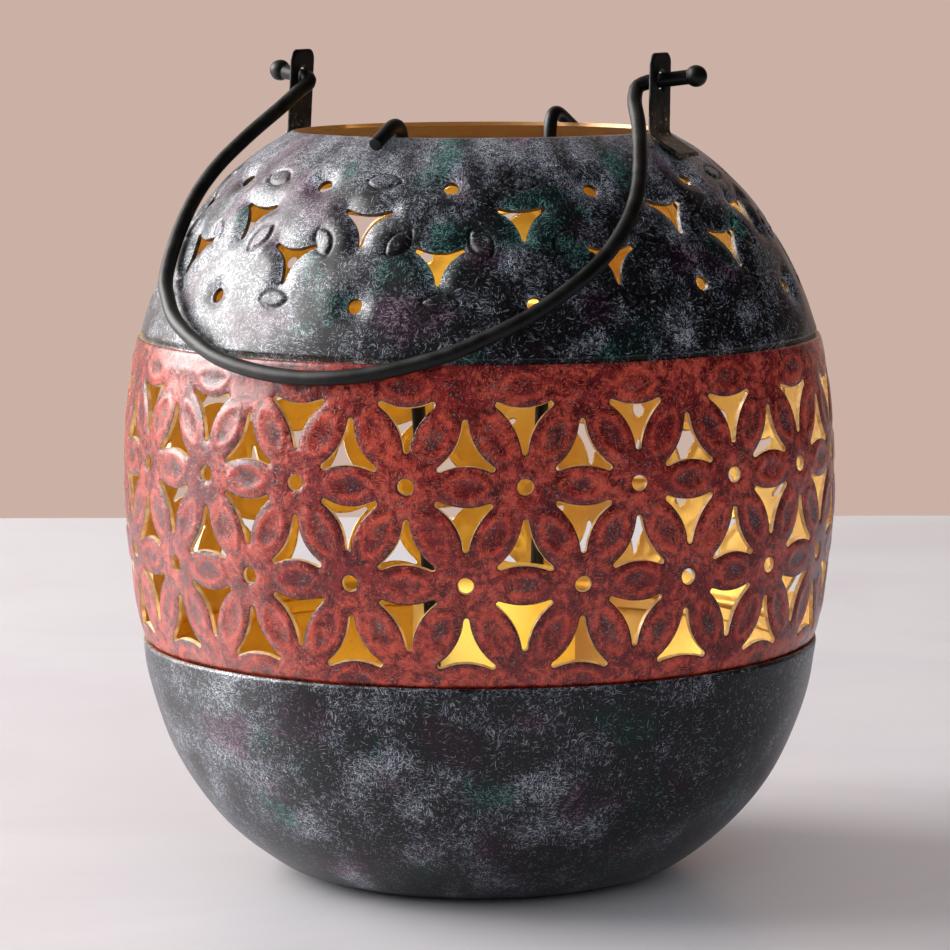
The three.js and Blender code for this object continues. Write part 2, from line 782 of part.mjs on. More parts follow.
addPiece("hanger_wire_front", hangerGeometry(-1), finish.black);
addPiece("hanger_wire_back", hangerGeometry(1), finish.black);
const holder = new THREE.Group();
holder.position.set(0, holderShift, 0);
lantern.add(holder);
addPiece("candle_cup", cupGeometry(), finish.black, holder);

const candle = new THREE.Group();
const shift = direction(candleShiftTurn).multiplyScalar(candleShift);
candle.position.set(shift.x, shift.y, cupFloorHeight + cupSheet + seatGap);
holder.add(candle);
addPiece("candle", candleGeometry(), finish.wax, candle);
const wickHeight = wickDepth + wickLength - seatGap;
const wick = new THREE.CylinderGeometry(wickRadius, wickRadius, wickHeight, wireFacets);
wick.rotateX(Math.PI / 2).translate(0, 0, candleHeight + wickLength - wickHeight / 2);
addPiece("candle_wick", wick, finish.wick, candle);

export default lantern;
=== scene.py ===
import math

import bpy
import numpy as np
from mathutils import Matrix, Vector


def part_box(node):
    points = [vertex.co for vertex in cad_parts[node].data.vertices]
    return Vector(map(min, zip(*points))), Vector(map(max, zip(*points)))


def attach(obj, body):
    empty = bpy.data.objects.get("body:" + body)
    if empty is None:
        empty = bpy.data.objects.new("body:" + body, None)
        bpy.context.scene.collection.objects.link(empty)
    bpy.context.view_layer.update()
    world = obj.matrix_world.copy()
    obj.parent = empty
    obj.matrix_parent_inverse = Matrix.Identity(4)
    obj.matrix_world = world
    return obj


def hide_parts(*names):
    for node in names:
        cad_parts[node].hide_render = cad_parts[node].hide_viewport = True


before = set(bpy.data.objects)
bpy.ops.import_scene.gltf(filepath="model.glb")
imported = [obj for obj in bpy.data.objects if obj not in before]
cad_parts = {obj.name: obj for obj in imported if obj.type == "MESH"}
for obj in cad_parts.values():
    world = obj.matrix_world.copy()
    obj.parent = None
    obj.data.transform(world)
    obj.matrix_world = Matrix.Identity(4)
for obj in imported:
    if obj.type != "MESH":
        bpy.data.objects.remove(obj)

# Pierced hanging candle lantern. Lengths in this script are millimetres until a mesh is made.
# An angle round the lantern runs from -Y towards +X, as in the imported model.

MM = 0.001
DEG = math.pi / 180
FULL_TURN = 2 * math.pi


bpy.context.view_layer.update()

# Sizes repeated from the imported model
SHEET = 1.0
LAP_GAP = 0.35
BAND_PROUD = 0.5
SEAT_GAP = 0.3
BELLY_RADIUS = 95.0
BELLY_HEIGHT = 103.2
BELLY_ROUNDNESS = 2.65
CROWN_FULLNESS = 2.22
UNDERSIDE_FULLNESS = 2.0
MOUTH_RADIUS = 49.1
MOUTH_HEIGHT = 198.2
SEAM_HEIGHT = 144.3
CAP_SKIRT_FOOT = 140.7
BOWL_RIM_RADIUS = 90.3
BOWL_RIM_HEIGHT = 63.4
BOWL_CENTRE_HEIGHT = 71.8
BOWL_BASE_RADIUS = 48.3
BOWL_ROUNDNESS = 2.62
BAND_GROOVE = 0.9
BAND_FLARE_HEIGHT = 62.0
BAND_FOOT = 57.4
FOOT_RADIUS = 43.0
HINGE_HEIGHT = 211.7
LUG_TOP = 218.9
BAND_WAIST = BOWL_RIM_RADIUS - SHEET - LAP_GAP - BAND_GROOVE


def belly_fall(radius, fullness):
    return (1 - (radius / BELLY_RADIUS) ** BELLY_ROUNDNESS) ** (1 / fullness)


CROWN_DEPTH = (MOUTH_HEIGHT - BELLY_HEIGHT) / belly_fall(MOUTH_RADIUS, CROWN_FULLNESS)
UNDER_DEPTH = (BELLY_HEIGHT - BOWL_RIM_HEIGHT) / belly_fall(BAND_WAIST, UNDERSIDE_FULLNESS)


def belly_radius(z):
    z = np.asarray(z, float)
    above = z > BELLY_HEIGHT
    depth = np.where(above, CROWN_DEPTH, UNDER_DEPTH)
    power = np.where(above, CROWN_FULLNESS, UNDERSIDE_FULLNESS)
    fall = np.abs(z - BELLY_HEIGHT) / depth
    return BELLY_RADIUS * np.clip(1 - fall ** power, 1e-9, 1) ** (1 / BELLY_ROUNDNESS)


def crown_height(radius):
    return BELLY_HEIGHT + CROWN_DEPTH * belly_fall(radius, CROWN_FULLNESS)


BASE_SHARE = (BOWL_BASE_RADIUS / BOWL_RIM_RADIUS) ** BOWL_ROUNDNESS
RIM_RISE = BOWL_CENTRE_HEIGHT - BOWL_RIM_HEIGHT
BOWL_DEPTH = math.sqrt((BOWL_CENTRE_HEIGHT ** 2 - BASE_SHARE * RIM_RISE ** 2) / (1 - BASE_SHARE))
RIM_SHARE = 1 - (RIM_RISE / BOWL_DEPTH) ** 2


def bowl_radius(z):
    share = 1 - ((BOWL_CENTRE_HEIGHT - np.asarray(z, float)) / BOWL_DEPTH) ** 2
    return BOWL_RIM_RADIUS * (share / RIM_SHARE) ** (1 / BOWL_ROUNDNESS)


def slope_normal(radius_at, z):
    step = 0.01
    slope = (radius_at(z + step) - radius_at(z - step)) / (2 * step)
    size = np.sqrt(1 + slope ** 2)
    return np.stack([1 / size, -slope / size], -1)


# Camera, as fitted to the photograph, with its focal length and side shift in pixels
IMAGE_SIDE = 950
FOCAL_LENGTH = 4350
SIDE_SHIFT = 4.38
SENSOR_WIDTH = 36
NEAREST_SEEN = 0.05
CAMERA_DISTANCE = 1155
CAMERA_HEIGHT = 249.5
AZIMUTH = 27 * DEG
PITCH = 7.09 * DEG
ROLL = 0.18 * DEG
YAW = math.atan(SIDE_SHIFT / FOCAL_LENGTH)
RIGHT = Vector((math.cos(AZIMUTH), math.sin(AZIMUTH), 0))
FORWARD = Vector((-math.sin(AZIMUTH), math.cos(AZIMUTH), 0))
UP = Vector((0, 0, 1))


def add_object(name, data):
    obj = bpy.data.objects.new(name, data)
    bpy.context.scene.collection.objects.link(obj)
    return obj


def make_camera():
    flat = FORWARD * math.cos(YAW) - RIGHT * math.sin(YAW)
    side = RIGHT * math.cos(YAW) + FORWARD * math.sin(YAW)
    ahead = flat * math.cos(PITCH) - UP * math.sin(PITCH)
    over = flat * math.sin(PITCH) + UP * math.cos(PITCH)
    across = side * math.cos(ROLL) - over * math.sin(ROLL)
    upward = side * math.sin(ROLL) + over * math.cos(ROLL)
    data = bpy.data.cameras.new("camera")
    data.lens = FOCAL_LENGTH / IMAGE_SIDE * SENSOR_WIDTH
    data.sensor_width = SENSOR_WIDTH
    data.clip_start = NEAREST_SEEN
    camera = add_object("camera", data)
    x = CAMERA_DISTANCE * math.sin(AZIMUTH)
    y = -CAMERA_DISTANCE * math.cos(AZIMUTH)
    place = Vector((x, y, CAMERA_HEIGHT)) * MM
    axes = Matrix((across, upward, -ahead)).transposed()
    camera.matrix_world = Matrix.Translation(place) @ axes.to_4x4()
    bpy.context.scene.camera = camera


make_camera()


# Mesh helpers


def mesh_object(name, points, faces, looks, face_look=None, uv=None, tints=None):
    """faces is a list of integer arrays, one per number of corners. Faces of look 2 are flat."""
    mesh = bpy.data.meshes.new(name)
    points = np.asarray(points, float) * MM
    corners = np.concatenate([f.ravel() for f in faces])
    totals = np.concatenate([np.full(len(f), f.shape[1]) for f in faces])
    starts = np.concatenate([[0], np.cumsum(totals)[:-1]])
    mesh.vertices.add(len(points))
    mesh.vertices.foreach_set("co", points.astype(np.float32).ravel())
    mesh.loops.add(len(corners))
    mesh.loops.foreach_set("vertex_index", corners.astype(np.int32))
    mesh.polygons.add(len(totals))
    mesh.polygons.foreach_set("loop_start", starts.astype(np.int32))
    if face_look is None:
        face_look = np.zeros(len(totals), np.int32)
    for look in looks:
        mesh.materials.append(look)
    mesh.polygons.foreach_set("use_smooth", face_look != 2)
    mesh.polygons.foreach_set("material_index", face_look.astype(np.int32))
    if uv is not None:
        layer = mesh.uv_layers.new(name="metric")
        layer.data.foreach_set("uv", uv.astype(np.float32).ravel())
    for label, values in (tints or {}).items():
        attribute = mesh.attributes.new(label, "FLOAT_COLOR", "POINT")
        colours = np.ones((len(points), 4), np.float32)
        colours[:, :3] = values
        attribute.data.foreach_set("color", colours.ravel())
    mesh.update(calc_edges=True)
    mesh.validate()
    return add_object(name, mesh)


def finish_piece(obj, body, node):
    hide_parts(node)
    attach(obj, body)


def smooth(x, low, high):
    t = np.clip((np.asarray(x, float) - low) / (high - low), 0, 1)
    return t * t * (3 - 2 * t)


def bell(x, width):
    return np.exp(-((x / width) ** 2))


def unit(vectors):
    return vectors / np.linalg.norm(vectors, axis=-1, keepdims=True)


def length_along(points):
    return np.concatenate([[0], np.cumsum(np.linalg.norm(np.diff(points, axis=0), axis=1))])


def between(at, run, rows):
    """Rows of numbers at places of their run."""
    return np.stack([np.interp(at, run, column) for column in rows.T], 1)


def even_line(points, count):
    """Points of a line at even steps of its length, and their places along it."""
    run = length_along(points)
    at = np.linspace(0, run[-1], count)
    return between(at, run, points), at


def bend(start, control, end, shares):
    """Points of a curve from start to end, drawn towards its control point."""
    t = shares[:, None]
    return start * (1 - t) ** 2 + 2 * control * t * (1 - t) + end * t * t


def arc(across, up, radius, start, end, steps):
    turn = np.linspace(start, end, steps + 1) * DEG
    return [(across + radius * math.cos(t), up + radius * math.sin(t)) for t in turn]


def grid_faces(lines, dots, closed=False):
    """Faces between lines of dots, each to the next and, if closed, the last to the first."""
    i, j = np.meshgrid(np.arange(lines if closed else lines - 1), np.arange(dots - 1), indexing="ij")
    a = (i * dots + j).ravel()
    b = ((i + 1) % lines * dots + j).ravel()
    return np.stack([a, b, b + 1, a + 1], 1)


def cut_grid(quads, distance, values):
    """Keeps a grid where distance is above zero. New points on the zero line get values between."""
    metal = distance > 0
    count = metal[quads].sum(1)
    whole = quads[count == 4]
    mixed = quads[(count > 0) & (count < 4)]
    if not len(mixed):
        return whole, mixed[:, :3], values
    tris = np.concatenate([mixed[:, [0, 1, 2]], mixed[:, [0, 2, 3]]])
    inside = metal[tris].sum(1)
    split = tris[(inside == 1) | (inside == 2)]
    flags = metal[split]
    lone = flags.sum(1) == 1
    odd = np.argmax(flags == lone[:, None], 1)
    a, b, c = np.take_along_axis(split, (odd[:, None] + np.arange(3)) % 3, 1).T
    ends = np.sort(np.concatenate([np.stack([a, b], 1), np.stack([a, c], 1)]), 1)
    pairs, back = np.unique(ends, axis=0, return_inverse=True)
    low, high = pairs.T
    share = np.clip(distance[low] / (distance[low] - distance[high]), 0.02, 0.98)
    full = {}
    for key, array in values.items():
        mixer = share if array.ndim == 1 else share[:, None]
        full[key] = np.concatenate([array, array[low] * (1 - mixer) + array[high] * mixer])
    # p and q lie on the two cut edges of each triangle, which meet at its odd corner a.
    p, q = len(distance) + back.reshape(2, -1)
    tips = np.stack([a, p, q], 1)[lone]
    first = np.stack([p, b, c], 1)[~lone]
    second = np.stack([p, c, q], 1)[~lone]
    return whole, np.concatenate([tris[inside == 3], tips, first, second]), full


def compact(whole, tris, values):
    """Drops the points that no face uses."""
    used = np.unique(np.concatenate([whole.ravel(), tris.ravel()]))
    renumber = np.zeros(used[-1] + 1, int)
    renumber[used] = np.arange(len(used))
    return renumber[whole], renumber[tris], {key: array[used] for key, array in values.items()}


def two_sided(whole, tris, count):
    """Faces of both sides of a sheet and its rim, and the rim's edges. The far side's points come last."""
    sides = [f[:, [k, (k + 1) % f.shape[1]]] for f in (whole, tris) for k in range(f.shape[1])]
    edges = np.concatenate(sides)
    rim = edges[~np.isin(edges @ [count, 1], edges @ [1, count])]
    walls = np.stack([rim[:, 1], rim[:, 0], rim[:, 0] + count, rim[:, 1] + count], 1)
    quads = np.concatenate([whole, whole[:, ::-1] + count, walls])
    return [quads, np.concatenate([tris, tris[:, ::-1] + count])], rim


def polygon_distance(points, outline):
    """Signed distance from points to a closed outline, negative inside it."""
    best = np.full(len(points), 1e9)
    inside = np.zeros(len(points), bool)
    for p, q in zip(outline, np.roll(outline, -1, 0)):
        edge = q - p
        to = points - p
        t = np.clip((to @ edge) / (edge @ edge), 0, 1)
        gap = to - t[:, None] * edge
        best = np.minimum(best, (gap ** 2).sum(1))
        if p[1] != q[1]:
            crosses = (p[1] > points[:, 1]) != (q[1] > points[:, 1])
            x = p[0] + (points[:, 1] - p[1]) / (q[1] - p[1]) * edge[0]
            inside ^= crosses & (points[:, 0] < x)
    return np.where(inside, -1, 1) * np.sqrt(best)


# Places on the sheets where no hole is near have this distance.
FAR = 50.0
SEAM_ANGLE = 207 * DEG
UV_UNIT = 100


class Sheet:
    """A thin sheet over a grid of angle and profile, with holes where its distance is below zero."""

    def __init__(self, profile, step):
        count = max(int(round(length_along(profile)[-1] / step)), 2)
        self.line, self.run = even_line(profile, count + 1)
        self.columns = int(round(FULL_TURN * self.line[:, 0].max() / step))
        tangent = unit(np.gradient(self.line, self.run, axis=0))
        self.outward = np.stack([tangent[:, 1], -tangent[:, 0]], 1)
        turn = SEAM_ANGLE + np.linspace(0, FULL_TURN, self.columns + 1)
        self.angle, self.along = [g.ravel() for g in np.meshgrid(turn, self.run, indexing="ij")]
        self.radius, self.level = between(self.along, self.run, self.line).T
        self.height = np.zeros_like(self.angle)
        self.distance = np.full_like(self.angle, FAR)
        self.tints = {}

    def turn_from(self, angle):
        return (self.angle - angle + math.pi) % FULL_TURN - math.pi

    def near(self, angle, level, reach):
        turn = self.turn_from(angle)
        across = turn * self.radius
        index = np.nonzero((np.abs(across) < reach) & (np.abs(self.level - level) < reach))[0]
        return index, turn[index]

    def points(self, angle, along, height):
        out = unit(between(along, self.run, self.outward))
        radius, level = (between(along, self.run, self.line) + out * height[:, None]).T
        return np.stack([radius * np.sin(angle), -radius * np.cos(angle), level], 1)

    def waves(self, rng, radius, shortest, longest, count=26):
        """Smooth seeded noise round the lantern, of about unit variance, with no seam."""
        total = np.zeros_like(self.angle)
        for _ in range(count):
            length = math.exp(rng.uniform(math.log(shortest), math.log(longest)))
            heading = rng.uniform(0, FULL_TURN)
            turns = round(FULL_TURN / length * math.cos(heading) * radius)
            rise = FULL_TURN / length * math.sin(heading)
            total += np.cos(turns * self.angle + rise * self.level + rng.uniform(0, FULL_TURN))
        return total / math.sqrt(count / 2)

    def tone(self, rng, start, depth, shortest, longest, spots):
        """Seeded noise with more or less of it at spots: share, degrees, height, width, tallness."""
        total = start + depth * self.waves(rng, 80, shortest, longest)
        for share, at, height, wide, tall in spots:
            total += share * bell(self.turn_from(at * DEG), wide * DEG) * bell(self.level - height, tall)
        return total

    def build(self, name, looks, uv_radius, push=0.22):
        """Looks are for the outside, the inside and the cut edges. The inside's holes are wider by push."""
        values = {"angle": self.angle, "along": self.along, "height": self.height, **self.tints}
        whole, tris, values = cut_grid(grid_faces(self.columns + 1, len(self.run)), self.distance, values)

        def metric():
            return np.stack([(values["angle"] - SEAM_ANGLE) * uv_radius, values["along"]], 1) / UV_UNIT

        quad_uv = metric()[whole]
        tri_uv = metric()[tris]

        # Join the seam: its last column takes the vertices of its first.
        used = np.unique(np.concatenate([whole.ravel(), tris.ravel()]))
        turned = values["angle"][used] - SEAM_ANGLE
        place = [round(float(at), 5) for at in values["along"]]
        firsts = {place[v]: v for v in used[np.abs(turned) < 1e-9]}
        join = np.arange(len(place))
        for v in used[np.abs(turned - FULL_TURN) < 1e-9]:
            join[v] = firsts.get(place[v], v)
        whole, tris, values = compact(join[whole], join[tris], values)

        angle, along, height = (values[key] for key in ("angle", "along", "height"))
        outer = self.points(angle, along, height)
        inner = self.points(angle, along, height - SHEET)
        faces, rim = two_sided(whole, tris, len(outer))
        up = self.points(angle, along, height + 1) - outer
        inwards = np.zeros_like(outer)
        for k in (0, 1):
            side = np.cross(up[rim[:, k]], outer[rim[:, 1]] - outer[rim[:, 0]])
            side /= np.linalg.norm(side, axis=1)[:, None] + 1e-9
            np.add.at(inwards, rim[:, k], side)
        inwards /= np.maximum(np.linalg.norm(inwards, axis=1), 1e-9)[:, None]
        inwards[(along < 1e-6) | (along > self.run[-1] - 1e-6)] = 0
        inner -= inwards * push

        look = np.repeat([0, 1, 2, 0, 1], [len(whole), len(whole), len(rim), len(tris), len(tris)])
        rim_uv = metric()[rim[:, [1, 0, 0, 1]]] + np.array([0, 0, 1, 1])[None, :, None] * SHEET / UV_UNIT
        parts = (quad_uv, quad_uv[:, ::-1], rim_uv, tri_uv, tri_uv[:, ::-1])
        uv = np.concatenate([part.reshape(-1, 2) for part in parts])
        tints = {key: np.tile(values[key], (2, 1)) for key in self.tints}
        return mesh_object(name, np.concatenate([outer, inner]), faces, looks, look, uv, tints)


def lift(field, index, value):
    field[index] = np.maximum(field[index], value)


# Outlines of the piercing


def star(size, up, rng, sway=0.02):
    """Three rounded tips with hollow sides, a little uneven, as cut by hand."""
    reach, waist, tip = size
    first = 90 * DEG if up else -90 * DEG
    first += rng.normal(0, 0.012)
    reaches = reach * (1 + rng.normal(0, sway, 3))
    waists = waist * (1 + rng.normal(0, 2 * sway, 3))
    half = tip / 2
    points = []

    def turned(x, y, angle):
        cos, sin = math.cos(angle), math.sin(angle)
        return np.array([x * cos - y * sin, x * sin + y * cos])

    for k in range(3):
        angle = first + k * 120 * DEG
        points += [turned(x, y, angle) for x, y in arc(reaches[k] - half * 0.6, 0, half, -90, 90, 6)]
        start = points[-1]
        end = turned(reaches[(k + 1) % 3] - half * 0.6, -half, angle + 120 * DEG)
        middle = turned(waists[k], 0, angle + 60 * DEG)
        points += list(bend(start, 2 * middle - (start + end) / 2, end, np.arange(1, 12) / 12))
    return np.array(points)


def round_hole(radius, rng):
    turn = np.arange(28) / 28 * FULL_TURN
    wobble = 1 + 0.025 * np.cos(2 * turn + rng.uniform(0, 6)) + 0.015 * np.cos(3 * turn + rng.uniform(0, 6))
    return np.stack([radius * wobble * np.cos(turn), radius * wobble * np.sin(turn)], 1)


def almond(x, y, heading, length, width):
    """Signed distance of an almond along a heading, negative inside."""
    along = x * math.cos(heading) + y * math.sin(heading)
    across = -x * math.sin(heading) + y * math.cos(heading)
    bow = ((length / 2) ** 2 + (width / 2) ** 2) / width
    return np.hypot(along, np.abs(across) + bow - width / 2) - bow


# Band

LATTICE_TOP = 139.1
LATTICE_FOOT = 65.0
LATTICE_ROWS = 3
LATTICE_TURN = 24.9 * DEG
FLOWERS = 20
ROW_STEP = (LATTICE_TOP - LATTICE_FOOT) / LATTICE_ROWS
PITCH_ANGLE = FULL_TURN / FLOWERS
BAND_STAR = (8.1, 3.2, 1.55)
BAND_HOLE = 2.1
PETAL_LENGTH = 12.4
PETAL_WIDTH = 6.5
FOOT_FULLNESS = 1.25
BAND_GRID = 0.62


def band_radius(z):
    z = np.asarray(z, float)
    inside = bowl_radius(z) - SHEET / slope_normal(bowl_radius, z)[..., 0]
    proud = BAND_PROUD * smooth(z, BELLY_HEIGHT, SEAM_HEIGHT)
    return np.where(z < BAND_FLARE_HEIGHT, inside - LAP_GAP, belly_radius(z) + proud)


def knot(row, place):
    return LATTICE_TURN + (place + (row % 2) / 2) * PITCH_ANGLE, LATTICE_TOP - row * ROW_STEP


def make_band(looks):
    rng = np.random.default_rng(11)
    z = np.linspace(BAND_FOOT, SEAM_HEIGHT, 500)
    sheet = Sheet(np.stack([band_radius(z), z], 1), BAND_GRID)
    level = sheet.level
    hole = sheet.distance
    ridge, dish, halo, relief = np.zeros((4, len(level)))

    def cut(angle, height, outline):
        index, turn = sheet.near(angle, height, 13)
        local = np.stack([turn * band_radius(height), level[index] - height], 1)
        hole[index] = np.minimum(hole[index], polygon_distance(local, outline))

    def petal(a, b):
        centre = ((a[0] + b[0]) / 2, (a[1] + b[1]) / 2)
        radius = band_radius(centre[1])
        heading = math.atan2(b[1] - a[1], (b[0] - a[0]) * radius) + rng.normal(0, 0.03)
        index, turn = sheet.near(*centre, 12)
        x = turn * radius + rng.normal(0, 0.2)
        y = level[index] - centre[1] + rng.normal(0, 0.15)
        length = PETAL_LENGTH * rng.uniform(0.95, 1.05)
        d = almond(x, y, heading, length, PETAL_WIDTH * rng.uniform(0.93, 1.07))
        depth = rng.uniform(0.85, 1.15)
        well = smooth(-d, 0.5, 2.6)
        relief[index] += depth * (0.13 * bell(d, 0.55) - 0.14 * well - 0.03 * bell(d - 1.25, 0.55))
        lift(ridge, index, bell(d + 0.2, 0.6))
        lift(halo, index, bell(d - 1.3, 0.8))
        lift(dish, index, well)

    for row in range(LATTICE_ROWS):
        for place in range(FLOWERS):
            shift = row % 2
            left = knot(row, place)
            right = knot(row, place + 1)
            below = knot(row + 1, place + shift)
            after = knot(row + 1, place + shift + 1)
            for corners, up in (((left, below, right), False), ((right, below, after), True)):
                cut(*np.mean(corners, 0), star(BAND_STAR, up, rng))
            petal(left, below)
            petal(below, right)
    for row in range(LATTICE_ROWS + 1):
        for place in range(FLOWERS):
            petal(knot(row, place), knot(row, place + 1))
            if 0 < row < LATTICE_ROWS:
                cut(*knot(row, place), round_hole(BAND_HOLE, rng))

    inset = 0.26 * smooth(level, 70, 84) * (1 - smooth(level, 136, 141))
    full_foot = FOOT_FULLNESS * smooth(level, 63.1, 64.7) * (1 - smooth(level, 65.5, 85))
    sway = 0.10 * sheet.waves(rng, 95, 14, 40)
    soft_edge = 0.22 * bell(hole, 0.5) + 0.10 * np.exp(-hole / 1.4)
    top_edge = 0.30 * bell(SEAM_HEIGHT - level, 0.45)
    guard = smooth(level, 61, 67) * (1 - smooth(level, 138.5, 141.5))
    sheet.height = np.minimum(relief + sway * 0.5 - soft_edge - inset, 0.02) * guard + full_foot
    sheet.height -= (1 - guard) * (0.04 + 0.04 * np.clip(sway * 10, -1, 1)) + top_edge
    edge = np.exp(-np.clip(hole, 0, None) / 0.9)
    sheet.tints["relief"] = np.stack([ridge, dish, edge], 1)
    # Painted highlight: the warm-red amount is raised along the band's foot, below 74 mm, which makes the
    # foot paler and more orange.
    cloud = 0.5 + 0.22 * sheet.waves(rng, 95, 18, 60) + 0.4 * (1 - smooth(level, 63, 74))
    green = 0.5 + 0.22 * sheet.waves(rng, 95, 7, 26)
    sheet.tints["cloud"] = np.stack([cloud, green, halo], 1)
    return sheet.build("band_sheet", looks, 95.0, 0.16)


# Cap

CAP_GRID = 0.5
CAP_MOTIFS = 12
CAP_STAR = (7.1, 2.6, 1.5)
CAP_HOLE = 2.05
PEBBLE_LENGTH = 9.0
PEBBLE_WIDTH = 4.9
TOP_PEBBLE = 188.0
LOW_PEBBLE = 159.2
SLANT_PEBBLE = 173.8
SLANT_RISE = 187.1 - 159.0
# Heights of the cuts as shares of the cap's height
LOW_HOLE, LOW_STAR, HIGH_STAR, HIGH_HOLE = 0.273, 0.471, 0.6475, 0.794
# Columns of the hand-set pattern that stray: turn of the column and of its star in degrees, and rise of
# its lower and upper cut
STRAY_COLUMNS = {
    0: (0, -0.8, 0, 0.5),
    0.5: (0.4, 0, 0, -0.8),
    1: (2.6, 0, 3.5, 1.3),
    1.5: (0, 0, 2.5, 0.5),
    11: (0, -1.3, -0.6, -0.5),
    11.5: (0, -1.2, 0, 0),
}


def cap_column(place):
    even = 36.9 * DEG + place * 30 * DEG
    turn, star_turn, low, high = STRAY_COLUMNS.get(place % CAP_MOTIFS, (0, 0, 0, 0))
    at = even + 2.3 * DEG * math.sin(even - 47 * DEG) + turn * DEG
    return at, at + star_turn * DEG, low, high


def make_cap(looks):
    rng = np.random.default_rng(23)
    skirt = np.linspace(CAP_SKIRT_FOOT - 0.3, SEAM_HEIGHT + LAP_GAP, 10)
    wall = np.linspace(SEAM_HEIGHT + LAP_GAP + 0.9, MOUTH_HEIGHT - 0.5, 400)
    lip = belly_radius(wall[-1])
    sheet = Sheet(np.concatenate([
        np.stack([belly_radius(skirt) - (SHEET + LAP_GAP - BAND_PROUD), skirt], 1),
        np.stack([belly_radius(wall), wall], 1),
        [[lip - 0.75, MOUTH_HEIGHT - 0.08], [lip - 1.5, MOUTH_HEIGHT]],
    ]), CAP_GRID)
    level = sheet.level
    hole = sheet.distance
    base = sheet.points(sheet.angle, sheet.along, np.zeros_like(level))
    relief, groove, pebble, lip_glow = np.zeros((4, len(level)))

    def local(at, height, reach):
        """Points of the cap near a place, and how far across and up they are from it."""
        index, _ = sheet.near(at, height, reach)
        index = index[level[index] > SEAM_HEIGHT + 2]
        normal = slope_normal(belly_radius, height)
        radius = float(belly_radius(height))
        centre = np.array([radius * math.sin(at), -radius * math.cos(at), height])
        along = np.array([math.cos(at), math.sin(at), 0])
        out = np.array([normal[0] * math.sin(at), -normal[0] * math.cos(at), normal[1]])
        to = base[index] - centre
        return index, to @ along, to @ np.cross(out, along)

    def cut(at, share, raised, outline, reach, dip, width):
        index, x, y = local(at, SEAM_HEIGHT + share * (MOUTH_HEIGHT - SEAM_HEIGHT) + raised, reach)
        d = polygon_distance(np.stack([x, y], 1), outline)
        hole[index] = np.minimum(hole[index], d)
        off = np.clip(d, 0, None)
        relief[index] -= dip * bell(off, width) + 0.30 * bell(off, 0.6)
        lift(lip_glow, index, np.exp(-off / 0.9))

    def boss(at, height, heading):
        index, x, y = local(at, height, 11)
        heading += rng.normal(0, 0.05)
        length = PEBBLE_LENGTH * rng.uniform(0.95, 1.06)
        d = almond(x, y, heading, length, PEBBLE_WIDTH * rng.uniform(0.94, 1.08))
        relief[index] += 0.12 * smooth(-d, 0.0, 0.9) - 0.50 * bell(d, 0.36)
        relief[index] -= 0.10 * bell(np.clip(d, 0, None), 1.4) * (d > 0)
        lift(groove, index, bell(d, 0.32))
        lift(pebble, index, smooth(-d, 0.0, 0.8))

    for k in range(CAP_MOTIFS):
        b, b_star, b_low, b_high = cap_column(k)
        a, a_star, a_low, a_high = cap_column(k + 0.5)
        cut(b, LOW_HOLE, b_low, round_hole(CAP_HOLE, rng), 11, 1.0, 2.5)
        cut(b_star, HIGH_STAR, b_high, star(CAP_STAR, False, rng, 0.03), 15, 1.0, 2.4)
        cut(a, HIGH_HOLE, a_high, round_hole(CAP_HOLE, rng), 11, 0.9, 2.5)
        cut(a_star, LOW_STAR, a_low, star(CAP_STAR, False, rng, 0.03), 15, 1.0, 2.4)
        boss(b, TOP_PEBBLE, 0)
        boss(a - 0.4 * DEG, LOW_PEBBLE + 0.8 * a_low, 0)
        middle = SLANT_PEBBLE + 0.4 * (b_low + a_low)
        radius = float(belly_radius(middle))
        rise = SLANT_RISE / slope_normal(belly_radius, middle)[0]
        for beside in (a, cap_column(k - 0.5)[0]):
            boss((b + beside) / 2 - 1.2 * DEG, middle, math.atan2(rise, (beside - b) * radius))

    sway = sheet.waves(rng, 80, 16, 46)
    ripple = sheet.waves(rng, 80, 5, 12)
    guard = smooth(level, SEAM_HEIGHT + 1.2, SEAM_HEIGHT + 5) * (1 - smooth(level, 193, 197.5))
    sheet.height = (relief + 0.12 * sway + 0.02 * ripple) * guard - 0.1
    sheet.tints["relief"] = np.stack([groove, pebble, lip_glow], 1)
    teal = sheet.tone(rng, 0.42, 0.24, 14, 50, [(0.5, 34, 176, 20, 10), (0.25, 12, 168, 12, 12)])
    purple = sheet.tone(rng, 0.42, 0.24, 12, 45, [(0.4, 22, 158, 20, 7), (0.4, -22, 176, 16, 14)])
    # Painted sheen and shade: the pale-fleck amount has a broad spot of more flecks on the left, the side
    # that faces the key lamp, and fewer flecks on the shaded right. The amount also grows towards the
    # mouth.
    light = sheet.tone(rng, 0.46, 0.13, 8, 36, [(0.3, -28, 168, 26, 26), (-0.12, 60, 160, 34, 22)])
    light += 0.35 * smooth(level, 182, 196)
    sheet.tints["cloud"] = np.clip(np.stack([teal, purple, light], 1), 0, 1.2)
    return sheet.build("cap_sheet", looks, 80.0, 0.14)


# Bowl

BOWL_GRID = 1.1


